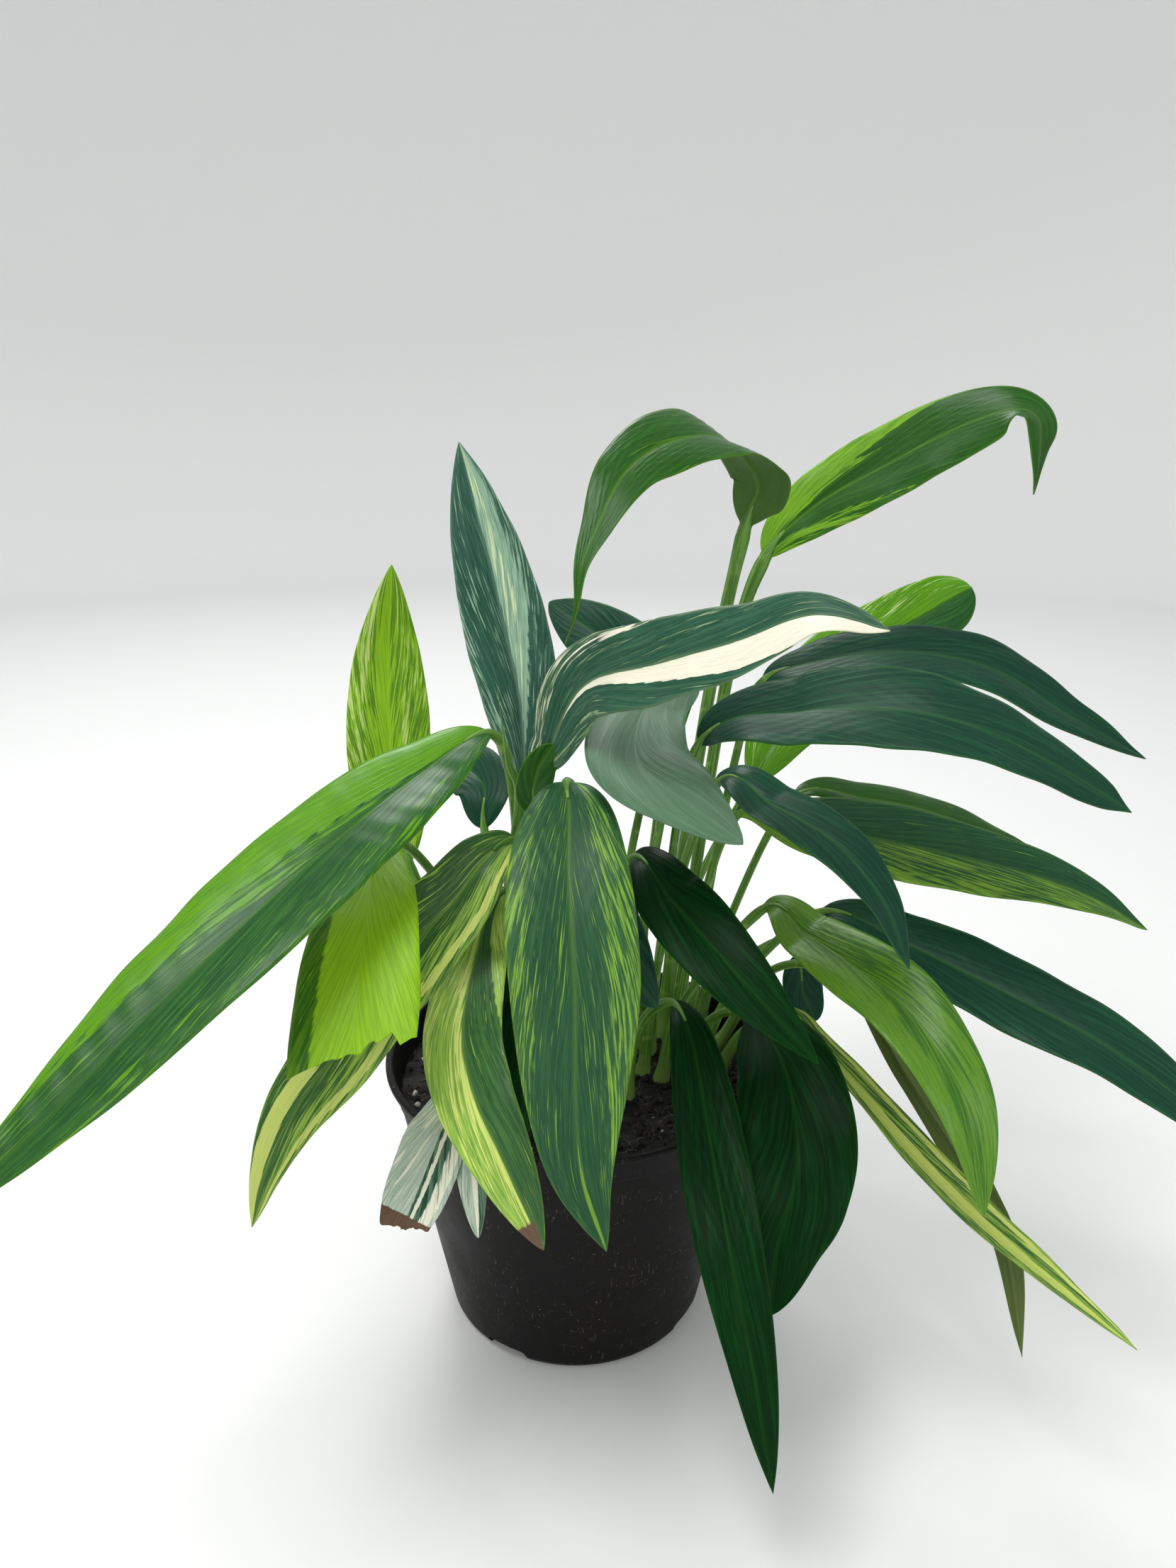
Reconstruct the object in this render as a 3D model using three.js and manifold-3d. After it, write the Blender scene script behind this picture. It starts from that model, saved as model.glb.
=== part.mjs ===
// A long-leaved variegated pothos in a round plastic nursery pot.
// Millimetres, +Z up. The origin is the centre of the pot's foot, on the surface it stands on.
// The plant's own points are measured from the centre of the soil's surface.
import * as THREE from 'three';
import Module from 'manifold-3d';
import { mergeVertices } from 'three/addons/utils/BufferGeometryUtils.js';

const wasm = await Module();
wasm.setup();

// ---- Driving dimensions ----
const rimRadius = 85;
const potHeight = 126;
const footRadius = 58.5;
const potWall = 1.5;
const lipWidth = 1.6;
const lipHeight = 2.4;
const bandHeight = 14;
const bandStep = 0.8;
const footRingWidth = 7;
const footRound = 3;
const footBevel = 0.9;
const centrePadRadius = 40;
const channelHeight = 4;
const drainCount = 4;
const drainWidth = 20;
const drainHeight = 5.5;
const firstDrain = 58;
const soilHeadroom = 12;
const plantSpread = 1;
const plantRise = 1;
const bladeThickness = 0.8;
const stalkRadius = 1.9;
const spearRadius = 1.4;

// ---- Clearances between pieces that touch ----
const contactGap = 0.35;
const jointGap = 1.3;

// ---- How finely round and curved pieces are divided ----
const potSegments = 48;
const stalkSides = 6;
const stalkSteps = 9;
const bladeRows = 12;
const bladeColumns = 4;
const curveSamples = 24;
const curveTension = 0.5;

// ---- Finishes ----
const plasticRoughness = 0.55;
const soilRoughness = 0.95;
const stalkRoughness = 0.5;
const leafRoughness = 0.38;

// ---- Sizes that follow from the driving ones ----
const routeRimRadius = 85;
const soilLevel = potHeight - soilHeadroom;
const floorTop = channelHeight + potWall;
const spread = plantSpread * rimRadius / routeRimRadius;

const radians = (degrees) => degrees * Math.PI / 180;
const vector = (point) => new THREE.Vector3(...point);
const smooth = (points) => new THREE.CatmullRomCurve3(points, false, 'catmullrom', curveTension);

function material(colour, roughness) {
  return new THREE.MeshStandardMaterial({ color: colour, roughness, metalness: 0 });
}

function named(name, geometry, finish) {
  const mesh = new THREE.Mesh(geometry, finish);
  mesh.name = name;
  return mesh;
}

// ---- Booleans ----
function solid(geometry) {
  const bare = geometry.clone();
  bare.deleteAttribute('normal');
  bare.deleteAttribute('uv');
  const merged = mergeVertices(bare, 1e-4);
  return new wasm.Manifold(new wasm.Mesh({
    numProp: 3,
    vertProperties: merged.attributes.position.array,
    triVerts: new Uint32Array(merged.index.array),
  }));
}

function geometryOf(manifold) {
  const mesh = manifold.getMesh();
  const geometry = new THREE.BufferGeometry();
  geometry.setAttribute('position', new THREE.BufferAttribute(mesh.vertProperties, 3));
  geometry.setIndex(new THREE.BufferAttribute(mesh.triVerts, 1));
  return geometry;
}

// ---- Pot ----
// The foot stands on a centre pad and an outer ring, with a raised drainage channel between them.
// Outer radius of the straight tapering wall at height z.
function wallRadius(z) {
  return footRadius + (rimRadius - lipWidth - footRadius) * z / potHeight;
}

// A solid of revolution about Z from [radius, height] points that start and end on the axis.
function turned(profile) {
  const lathe = new THREE.LatheGeometry(profile.map(([r, z]) => new THREE.Vector2(r, z)), potSegments);
  lathe.rotateX(Math.PI / 2);
  return lathe;
}

function potGeometry() {
  const band = potHeight - bandHeight;
  const lipBottom = potHeight - lipHeight;
  const footRing = wallRadius(0) - footRound;
  const profile = [
    [0, 0],
    [centrePadRadius, 0],
    [centrePadRadius, channelHeight],
    [footRing - footRingWidth, channelHeight],
    [footRing - footRingWidth, 0],
    [footRing, 0],
    [wallRadius(footRound) - footBevel, footBevel],
    [wallRadius(footRound), footRound],
    [wallRadius(band) - bandStep, band],
    [wallRadius(band), band + bandStep],
    [wallRadius(lipBottom), lipBottom],
    [rimRadius, lipBottom + lipWidth / 2],
    [rimRadius, potHeight - lipWidth / 2],
    [rimRadius - lipWidth / 2, potHeight],
    [wallRadius(potHeight) - potWall, potHeight],
    [wallRadius(band) - potWall, band],
    [wallRadius(band) - potWall - bandStep, band - bandStep],
    [wallRadius(floorTop + footRound) - potWall, floorTop + footRound],
    [wallRadius(floorTop) - potWall - footRound, floorTop],
    [centrePadRadius - potWall, floorTop],
    [centrePadRadius - potWall, potWall],
    [0, potWall],
  ];
  let pot = solid(turned(profile));
  // Drain slots run through the foot ring and the corner between floor and wall.
  for (let i = 0; i < drainCount; i += 1) {
    const slot = new THREE.BoxGeometry(footRingWidth + 2 * footRound, drainWidth, 2 * drainHeight);
    slot.translate(footRing, 0, 0);
    slot.rotateZ(radians(firstDrain + 360 * i / drainCount));
    pot = pot.subtract(solid(slot));
  }
  return geometryOf(pot);
}

// ---- Soil ----
function soilGeometry() {
  const inside = (z) => wallRadius(z) - potWall - bandStep - contactGap;
  const bottom = floorTop + contactGap;
  const padInside = centrePadRadius - potWall - contactGap;
  return geometryOf(solid(turned([
    [0, potWall + contactGap],
    [padInside, potWall + contactGap],
    [padInside, bottom],
    [inside(bottom) - footRound, bottom],
    [inside(bottom + footRound), bottom + footRound],
    [inside(soilLevel), soilLevel],
    [0, soilLevel],
  ])));
}

// ---- Leaves ----
// Share of the greatest width at a, the share of the way from the blade's base (0) to its tip (1).
// The outline is widest at `widest`; a larger `taper` draws both ends out longer.
function outline(a, widest, taper) {
  const rising = (a / widest) ** widest;
  const falling = ((1 - a) / (1 - widest)) ** (1 - widest);
  return (rising * falling) ** taper;
}

// One smooth line runs up the stalk and out along the midrib; this is its part between two
// of its points, counted from the soil.
function stretch(points, first, last) {
  const whole = smooth(points.map(vector));
  const samples = [];
  for (let i = 0; i <= curveSamples; i += 1) {
    const index = first + (last - first) * i / curveSamples;
    samples.push(whole.getPoint(index / (points.length - 1)));
  }
  return smooth(samples);
}

// The direction at share a of a list of directions spread evenly from 0 to 1.
function blend(directions, a) {
  const place = a * (directions.length - 1);
  const first = Math.min(Math.floor(place), directions.length - 2);
  return directions[first].clone().lerp(directions[first + 1], place - first);
}

// A closed thin solid along the midrib. Each cross-section is a shallow V of angle `fold`,
// opened towards `face`, the way the upper surface looks, which turns from base to tip.
function bladeGeometry({ stalk, midrib, face, width, widest, taper, fold, kept, stout = 1 }) {
  const curve = stretch([...stalk, ...midrib], stalk.length, stalk.length + midrib.length - 1);
  const faces = face.map(vector);
  const positions = [];
  const baseHalf = stalkRadius * stout;
  const tipHalf = bladeThickness / 2;
  for (let layer = 0; layer < 2; layer += 1) {
    const lift = (layer === 0 ? 0.5 : -0.5) * bladeThickness;
    for (let i = 0; i <= bladeRows; i += 1) {
      const a = i / bladeRows;
      const centre = curve.getPointAt(a);
      const along = curve.getTangentAt(a);
      const normal = blend(faces, a);
      normal.addScaledVector(along, -normal.dot(along)).normalize();
      const side = normal.clone().cross(along);
      const least = baseHalf + (tipHalf - baseHalf) * a;
      const half = Math.max(width / 2 * outline(a * kept, widest, taper), least);
      for (let j = 0; j <= bladeColumns; j += 1) {
        const b = 2 * j / bladeColumns - 1;
        const point = centre.clone();
        point.addScaledVector(side, b * half * Math.cos(radians(fold)));
        point.addScaledVector(normal, Math.abs(b) * half * Math.sin(radians(fold)) + lift);
        positions.push(...point.toArray());
      }
    }
  }
  return closedSheet(positions, bladeRows, bladeColumns);
}

// Joins an upper and a lower grid of points, given one after the other, into one closed body.
function closedSheet(positions, rows, columns) {
  const stride = columns + 1;
  const lower = (rows + 1) * stride;
  const at = (i, j, layer) => layer * lower + i * stride + j;
  const index = [];
  const quad = (p, q, r, s) => index.push(p, q, r, p, r, s);
  for (let i = 0; i < rows; i += 1) {
    for (let j = 0; j < columns; j += 1) {
      quad(at(i, j, 0), at(i + 1, j, 0), at(i + 1, j + 1, 0), at(i, j + 1, 0));
      quad(at(i, j, 1), at(i, j + 1, 1), at(i + 1, j + 1, 1), at(i + 1, j, 1));
    }
    quad(at(i, 0, 0), at(i, 0, 1), at(i + 1, 0, 1), at(i + 1, 0, 0));
    quad(at(i, columns, 0), at(i + 1, columns, 0), at(i + 1, columns, 1), at(i, columns, 1));
  }
  for (let j = 0; j < columns; j += 1) {
    quad(at(0, j, 0), at(0, j + 1, 0), at(0, j + 1, 1), at(0, j, 1));
    quad(at(rows, j, 0), at(rows, j, 1), at(rows, j + 1, 1), at(rows, j + 1, 0));
  }
  const geometry = new THREE.BufferGeometry();
  geometry.setAttribute('position', new THREE.Float32BufferAttribute(positions, 3));
  geometry.setIndex(index);
  return geometry;
}

// A round stalk along its route, stopping just short of the blade it carries.
function stalkGeometry(curve, radius) {
  const end = 1 - jointGap / curve.getLength();
  const points = [];
  for (let i = 0; i <= stalkSteps; i += 1) points.push(curve.getPointAt(end * i / stalkSteps));
  const section = new THREE.Shape();
  for (let i = 0; i < stalkSides; i += 1) {
    const angle = 2 * Math.PI * i / stalkSides;
    const corner = [radius * Math.cos(angle), radius * Math.sin(angle)];
    if (i === 0) section.moveTo(...corner);
    else section.lineTo(...corner);
  }
  section.closePath();
  const extrudePath = smooth(points);
  return new THREE.ExtrudeGeometry(section, { steps: stalkSteps, extrudePath, bevelEnabled: false });
}

// Every leaf: the stalk's points from the soil, then the midrib's from blade base to tip.
// `face` is the way the upper surface looks, from base to tip. `kept` below 1 is a blade whose
// end has broken off, and `stout` is a stalk that much thicker than the others.
const leaves = [
  { name: 'big_left', colour: 0x4f8f24, width: 47, widest: 0.42, taper: 1.5, fold: 10, kept: 1,
    stalk: [[-22, -6, 1], [-23, -12, 70], [-25, -18, 140]],
    midrib: [[-33, -25, 167], [-56, -50, 160], [-77, -80, 150], [-107, -115, 129], [-135, -142, 107],
      [-159, -165, 87], [-183, -187, 67]],
    face: [[0, -0.5, 1], [-0.3, -0.7, 0.7]] },
  { name: 'upright_lime', colour: 0x6fa51a, width: 38, widest: 0.42, taper: 1.5, fold: 8, kept: 1,
    stalk: [[-38, 22, 1], [-50, 28, 40], [-66, 32, 66]],
    midrib: [[-76, 34, 89], [-83, 42, 116], [-85, 52, 157], [-84, 58, 188], [-81, 60, 221]],
    face: [[0.1, -1, 0], [0.2, -1, 0]] },
  { name: 'tall_silver', colour: 0x2a5a40, width: 38, widest: 0.42, taper: 1.5, fold: 12, kept: 1,
    stalk: [[-14, 2, 1], [-16, 0, 70]],
    midrib: [[-20, -8, 136], [-22, 4, 169], [-31, 22, 210], [-41, 36, 247], [-48, 46, 274]],
    face: [[0.4, -1, 0], [0.3, -1, 0.1]] },
  { name: 'arched_top', colour: 0x2f6a24, width: 38, widest: 0.28, taper: 2.4, fold: 10, kept: 1, stout: 1.45,
    stalk: [[42, 30, 1], [48, 30, 80], [60, 26, 180]],
    midrib: [[71, 25, 241], [75, 20, 257], [67, 8, 270], [54, -4, 278], [38, -18, 277],
      [24, -30, 271], [15, -41, 262], [8, -52, 248], [3, -61, 236], [1, -68, 222], [-3, -73, 212]],
    face: [[0.6, 0.8, 0.3], [0.1, -0.6, 0.8], [-0.7, -0.9, 0.3]] },
  { name: 'top_right', colour: 0x2c6330, width: 34, widest: 0.4, taper: 1.5, fold: 12, kept: 1, stout: 1.45,
    stalk: [[50, 40, 1], [57, 44, 80], [70, 46, 180]],
    midrib: [[83, 44, 226], [103, 42, 248], [130, 34, 265], [155, 24, 280], [173, 14, 287],
      [180, 6, 284], [180, 0, 274], [179, -2, 256]],
    face: [[-0.3, -0.9, 0.4], [-0.1, -0.8, 0.6], [0.6, -0.7, 0.5]] },
  { name: 'back_lime', colour: 0x5f9a1e, width: 43, widest: 0.48, taper: 1.2, fold: 8, kept: 0.88,
    stalk: [[44, 48, 1], [58, 62, 60]],
    midrib: [[87, 78, 112], [105, 92, 139], [132, 108, 162], [170, 122, 182], [204, 132, 199]],
    face: [[-0.2, -0.9, 0.5], [-0.1, -0.9, 0.5]] },
  { name: 'upper_right', colour: 0x2b4a3c, width: 36, widest: 0.42, taper: 1.5, fold: 10, kept: 1,
    stalk: [[54, 28, 1], [63, 40, 70], [77, 56, 140]],
    midrib: [[87, 58, 168], [109, 52, 178], [145, 42, 185], [182, 30, 180], [214, 20, 161], [246, 12, 144]],
    face: [[0, -0.5, 0.9], [0.2, -0.6, 0.8]] },
  { name: 'broad_right', colour: 0x24503a, width: 43, widest: 0.42, taper: 1.5, fold: 10, kept: 1,
    stalk: [[34, 12, 1], [40, 12, 70]],
    midrib: [[52, 0, 155], [89, -22, 175], [121, -38, 180], [148, -50, 176], [172, -60, 166],
      [202, -70, 149]],
    face: [[0, -0.6, 0.85], [0.2, -0.6, 0.8]] },
  { name: 'cream_band', colour: 0x9fb08a, width: 32, widest: 0.45, taper: 1.4, fold: 12, kept: 1,
    stalk: [[-6, -6, 1], [-7, -14, 70]],
    midrib: [[-12, -35, 149], [-8, -42, 168], [4, -56, 194], [28, -80, 207], [52, -100, 218],
      [73, -116, 229], [93, -128, 227]],
    face: [[-0.5, -0.9, 0.3], [0.1, -0.7, 0.7]] },
  { name: 'grey_centre', colour: 0x5a7268, width: 39, widest: 0.42, taper: 1.3, fold: 8, kept: 1,
    stalk: [[24, 2, 1], [30, 6, 70], [42, 4, 150]],
    midrib: [[46, -8, 180], [27, -32, 178], [23, -62, 168], [37, -87, 161], [56, -105, 151]],
    face: [[-0.2, -0.3, 1], [-0.2, -0.5, 0.85]] },
  { name: 'back_centre', colour: 0x2d5238, width: 33, widest: 0.45, taper: 1.3, fold: 8, kept: 1,
    stalk: [[18, 28, 1], [25, 42, 80]],
    midrib: [[42, 56, 169], [27, 70, 177], [9, 86, 186], [-12, 102, 197]],
    face: [[-0.2, -1, 0.4], [-0.2, -1, 0.4]] },
  { name: 'front_streaked', colour: 0x2f6a2a, width: 46, widest: 0.4, taper: 1.5, fold: 8, kept: 1,
    stalk: [[2, -18, 1], [2, -28, 70], [0, -37, 140]],
    midrib: [[-3, -48, 154], [-2, -68, 150], [-2, -92, 133], [0, -120, 102], [0, -134, 75],
      [2, -144, 50], [10, -150, 25]],
    face: [[0, -0.6, 0.8], [0.1, -1, 0.2]] },
  { name: 'left_long', colour: 0x3f7428, width: 35, widest: 0.42, taper: 1.5, fold: 10, kept: 1,
    stalk: [[-16, -20, 1], [-16, -25, 80], [-17, -28, 112]],
    midrib: [[-24, -38, 127], [-34, -54, 126], [-45, -63, 113], [-57, -69, 101], [-73, -75, 82],
      [-87, -86, 63],
      [-103, -98, 44], [-112, -110, 25], [-116, -118, 10]],
    face: [[-0.1, -0.9, 0.4], [-0.3, -0.9, 0.4]] },
  { name: 'torn_lime', colour: 0x94c628, width: 44, widest: 0.55, taper: 1.0, fold: 8, kept: 0.7,
    stalk: [[-30, 0, 1], [-40, -6, 60], [-62, -22, 112]],
    midrib: [[-75, -45, 129], [-74, -84, 117], [-74, -110, 99], [-75, -131, 78]],
    face: [[-0.1, -0.8, 0.6], [-0.1, -1, 0.2]] },
  { name: 'yellow_front', colour: 0x8aa838, width: 32, widest: 0.48, taper: 1.5, fold: 8, kept: 1,
    stalk: [[-14, -28, 1], [-16, -32, 60], [-18, -34, 92]],
    midrib: [[-26, -40, 106], [-33, -49, 104], [-38, -57, 87], [-41, -90, 74], [-36, -112, 61],
      [-26, -128, 47], [-11, -142, 19]],
    face: [[-0.3, -0.8, 0.5], [0, -1, 0.1]] },
  { name: 'broken_pale', colour: 0xa8b49a, width: 27, widest: 0.45, taper: 1.2, fold: 8, kept: 0.86,
    stalk: [[-26, -34, 1.5], [-32, -48, 34]],
    midrib: [[-45, -70, 37], [-51, -86, 29], [-58, -98, 14], [-66, -108, -3]],
    face: [[-0.3, -0.8, 0.4], [-0.4, -0.9, 0.2]] },
  { name: 'shaded_front', colour: 0x2a4a22, width: 24, widest: 0.45, taper: 1.3, fold: 8, kept: 1,
    stalk: [[-4, -38, 1], [-5, -39, 48], [-7, -41, 72]],
    midrib: [[-12, -48, 90], [-18, -63, 84], [-20, -78, 57], [-20, -90, 27]],
    face: [[-0.1, -0.9, 0.4], [-0.1, -1, 0.1]] },
  { name: 'dark_centre', colour: 0x1f4a33, width: 28, widest: 0.42, taper: 1.5, fold: 12, kept: 1,
    stalk: [[14, -16, 1], [14, -22, 70]],
    midrib: [[23, -40, 120], [36, -70, 115], [52, -95, 104], [68, -112, 91], [82, -124, 79]],
    face: [[-0.1, -0.7, 0.7], [-0.1, -0.8, 0.6]] },
  { name: 'glossy_right', colour: 0x5c9422, width: 31, widest: 0.42, taper: 1.4, fold: 10, kept: 1,
    stalk: [[38, -12, 1], [46, -14, 40]],
    midrib: [[79, -20, 89], [93, -42, 88], [107, -64, 85], [120, -84, 80], [131, -104, 68],
      [138, -118, 51], [142, -130, 22]],
    face: [[0.1, -0.6, 0.8], [0.1, -1, 0.2]] },
  { name: 'narrow_right', colour: 0x23503c, width: 25, widest: 0.42, taper: 1.5, fold: 12, kept: 1,
    stalk: [[30, -8, 1], [38, -10, 70]],
    midrib: [[56, -30, 147], [74, -55, 147], [93, -80, 141], [106, -98, 127], [114, -110, 107]],
    face: [[0.2, -0.6, 0.8], [0.3, -0.8, 0.5]] },
  { name: 'speckled_right', colour: 0x3a6a24, width: 38, widest: 0.42, taper: 1.5, fold: 10, kept: 1,
    stalk: [[44, 8, 1], [54, 14, 60]],
    midrib: [[72, 20, 116], [104, 8, 115], [147, -6, 110], [188, -20, 104], [212, -28, 97], [234, -34, 85]],
    face: [[0, -0.6, 0.8], [0.1, -0.6, 0.8]] },
  { name: 'thin_back_right', colour: 0x2e5a34, width: 28, widest: 0.42, taper: 1.5, fold: 10, kept: 1,
    stalk: [[60, 38, 1.5], [76, 56, 50]],
    midrib: [[108, 76, 105], [144, 82, 102], [181, 84, 93], [218, 82, 79], [243, 78, 66]],
    face: [[0, -0.3, 1], [0.1, -0.3, 1]] },
  { name: 'far_right', colour: 0x24503a, width: 36, widest: 0.42, taper: 1.5, fold: 10, kept: 1,
    stalk: [[56, 4, 1.5], [74, 8, 40]],
    midrib: [[109, 5, 76], [141, -20, 72], [175, -45, 62], [206, -70, 53], [231, -90, 39], [257, -108, 21]],
    face: [[0, -0.6, 0.8], [0.1, -0.6, 0.8]] },
  { name: 'long_front', colour: 0x1f4a33, width: 26, widest: 0.42, taper: 1.5, fold: 10, kept: 1,
    stalk: [[22, -26, 1], [25, -27, 30], [31, -29, 45]],
    midrib: [[40, -38, 55], [45, -54, 53], [48, -72, 42], [52, -102, 18], [56, -130, -3],
      [62, -148, -32], [68, -160, -69]],
    face: [[-0.1, -0.7, 0.6], [-0.1, -1, 0.2]] },
  { name: 'broad_shaded', colour: 0x0d2b12, width: 45, widest: 0.48, taper: 1.3, fold: 8, kept: 1,
    stalk: [[48, -4, 1.5], [60, -8, 30]],
    midrib: [[74, -25, 42], [83, -58, 39], [85, -84, 23], [81, -100, 8], [75, -108, -10], [72, -114, -35]],
    face: [[-0.1, -0.7, 0.7], [-0.2, -1, 0.15]] },
  { name: 'folded_right', colour: 0x5a7a30, width: 22, widest: 0.4, taper: 1.6, fold: 35, kept: 1,
    stalk: [[64, -6, 1.5], [76, -4, 22]],
    midrib: [[96, -6, 33], [106, -18, 24], [124, -42, 8], [144, -65, -8], [163, -88, -19],
      [185, -108, -30], [207, -125, -42]],
    face: [[0.3, -0.5, 0.8], [0.3, -0.6, 0.7]] },
  { name: 'tail_right', colour: 0x5a5a30, width: 18, widest: 0.4, taper: 1.6, fold: 12, kept: 1,
    stalk: [[66, 16, 1.5], [90, 12, 44]],
    midrib: [[118, -10, 50], [141, -40, 20], [162, -62, -11], [173, -80, -33], [179, -95, -74]],
    face: [[0.4, 0.8, 0.3], [0.4, 0.8, 0.2]] },
  { name: 'left_back', colour: 0x274f2c, width: 29, widest: 0.45, taper: 1.2, fold: 10, kept: 1,
    stalk: [[-26, 18, 1], [-32, 24, 60]],
    midrib: [[-41, 32, 106], [-42, 44, 123], [-57, 64, 127], [-77, 86, 116]],
    face: [[-0.2, -0.6, 0.7], [-0.2, -0.4, 0.9]] },
];

// A new leaf, still rolled into a spear.
const spear = [[-28, -8, 1], [-30, -22, 80], [-22, -27, 138], [-26, -31, 158], [-29, -34, 186]];

const pot = named('pot', potGeometry(), material(0x1e1b1c, plasticRoughness));
const soil = named('soil', soilGeometry(), material(0x17110d, soilRoughness));

const stalkGreen = material(0x4a7a1e, stalkRoughness);
const plant = new THREE.Group();
plant.position.z = soilLevel;
plant.scale.set(spread, spread, plantRise);
for (const leaf of leaves) {
  const stalkLine = stretch([...leaf.stalk, ...leaf.midrib], 0, leaf.stalk.length);
  const radius = stalkRadius * (leaf.stout ?? 1);
  plant.add(named(`${leaf.name}_stalk`, stalkGeometry(stalkLine, radius), stalkGreen));
  plant.add(named(`${leaf.name}_blade`, bladeGeometry(leaf), material(leaf.colour, leafRoughness)));
}
plant.add(named('new_leaf_spear', stalkGeometry(smooth(spear.map(vector)), spearRadius), stalkGreen));

const model = new THREE.Group();
model.add(pot, soil, plant);
export default model;
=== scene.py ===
"""A long-leaved variegated pothos in a black plastic nursery pot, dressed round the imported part.

Every leaf is worked out from the same points as the part's own leaves. Lengths are in metres,
apart from the leaf table, which keeps the part's millimetres.
"""

import bpy
import numpy as np
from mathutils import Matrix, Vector


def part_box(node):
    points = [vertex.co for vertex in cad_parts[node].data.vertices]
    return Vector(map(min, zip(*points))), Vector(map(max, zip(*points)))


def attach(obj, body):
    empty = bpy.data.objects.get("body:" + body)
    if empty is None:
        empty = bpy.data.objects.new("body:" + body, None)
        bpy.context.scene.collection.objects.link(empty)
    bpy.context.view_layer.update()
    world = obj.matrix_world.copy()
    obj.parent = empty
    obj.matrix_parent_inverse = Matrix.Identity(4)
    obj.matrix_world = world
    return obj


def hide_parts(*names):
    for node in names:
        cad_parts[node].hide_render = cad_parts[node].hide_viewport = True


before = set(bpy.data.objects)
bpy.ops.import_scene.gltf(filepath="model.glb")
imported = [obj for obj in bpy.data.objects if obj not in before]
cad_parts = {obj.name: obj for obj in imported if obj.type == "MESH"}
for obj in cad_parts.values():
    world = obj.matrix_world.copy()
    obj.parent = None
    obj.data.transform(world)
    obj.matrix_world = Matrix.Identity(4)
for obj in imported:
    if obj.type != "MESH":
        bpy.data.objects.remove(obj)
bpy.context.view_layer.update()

MM = 0.001

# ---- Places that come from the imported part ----
POT_LOW, POT_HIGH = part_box("pot")
SOIL_LOW, SOIL_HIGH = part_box("soil")
RIM_RADIUS = (POT_HIGH[0] - POT_LOW[0]) / 2
POT_HEIGHT = POT_HIGH[2]
SOIL_LEVEL = SOIL_HIGH[2]
SOIL_RADIUS = (SOIL_HIGH[0] - SOIL_LOW[0]) / 2

# ---- Real sizes of the small things ----
BLADE_THICKNESS = 0.5 * MM
STALK_RADIUS = 1.9 * MM
SPEAR_RADIUS = 1.5 * MM
VEIN_SPACING = 2.6 * MM
# How far towards the tip a vein has run when it reaches the margin, as a share of the blade.
VEIN_LEAD = 0.70
CRUMB_SIZE = 3.6 * MM
CHIP_SIZE = 5.5 * MM
PERLITE_SIZE = 3.4 * MM
FIBRE_LENGTH = 12 * MM
FIBRE_RADIUS = 0.12 * MM

# How far a blade's margin ripples, its middle waves and its veins quilt it.
MARGIN_RIPPLE = 1.1 * MM
SLOW_WAVE = 0.9 * MM
QUILTING = 0.12 * MM
# How far a stalk goes down into the soil, and on inside the blade's rib.
STALK_ROOTED = 5 * MM
STALK_IN_RIB = 14 * MM
# The least half width of a skin that runs out to a point.
POINT_RADIUS = 0.15 * MM

# ---- The pot's mouldings ----
FOOT_RADIUS = 58.5 * MM
POT_WALL = 1.5 * MM
LIP_WIDTH = 1.6 * MM
LIP_HEIGHT = 2.4 * MM
BAND_HEIGHT = 14 * MM
BAND_STEP = 0.8 * MM
FOOT_RING = 7 * MM
FOOT_ROUND = 3 * MM
PAD_RADIUS = 40 * MM
CHANNEL_HEIGHT = 4 * MM
DRAIN_COUNT = 4
DRAIN_WIDTH = 20 * MM
DRAIN_HEIGHT = 5.5 * MM
FIRST_DRAIN = 58  # degrees round from X
CLEARANCE = 0.4 * MM
CORNER_RADIUS = 1.2 * MM

# ---- How finely the surfaces are divided ----
BLADE_ROWS = 130
BLADE_HALF_COLUMNS = 16
STALK_ROWS = 70
STALK_SIDES = 20
POT_SIDES = 256
SOIL_RINGS = 120
SWEEP_SIDES = 96
LINE_STEPS = 400


# ==== Meshes =================================================================================
def new_piece(name, points, face_sets, material):
    """A closed mesh at the origin, riding on the part's body.

    `face_sets` holds one array for every count of sides. A skin whose enclosed volume comes out
    negative is turned, so that its faces point outwards.
    """
    points = np.asarray(points, float).reshape(-1, 3)
    volume = 0
    for faces in face_sets:
        for k in range(1, faces.shape[1] - 1):
            first, second, third = (points[faces[:, corner]] for corner in (0, k, k + 1))
            volume += (first * np.cross(second, third)).sum()
    face_sets = [faces[:, ::-1] if volume < 0 else faces for faces in face_sets]
    corners = np.concatenate([faces.ravel() for faces in face_sets])
    sides = np.concatenate([np.full(len(faces), faces.shape[1]) for faces in face_sets])
    mesh = bpy.data.meshes.new(name)
    mesh.vertices.add(len(points))
    mesh.vertices.foreach_set("co", points.ravel())
    mesh.loops.add(len(corners))
    mesh.loops.foreach_set("vertex_index", corners)
    mesh.polygons.add(len(sides))
    mesh.polygons.foreach_set("loop_start", np.cumsum(sides) - sides)
    mesh.polygons.foreach_set("use_smooth", np.full(len(sides), True))
    mesh.update(calc_edges=True)
    mesh.materials.append(material)
    piece = bpy.data.objects.new(name, mesh)
    bpy.context.collection.objects.link(piece)
    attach(piece, "root")
    return piece


def add_attribute(piece, name, values):
    """Writes one value or one vector to every point of a piece, for its material to read."""
    points = len(piece.data.vertices)
    single = np.size(values) == points
    kind, field = ("FLOAT", "value") if single else ("FLOAT_VECTOR", "vector")
    layer = piece.data.attributes.new(name, kind, "POINT")
    layer.data.foreach_set(field, np.asarray(values, float).ravel())


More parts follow.
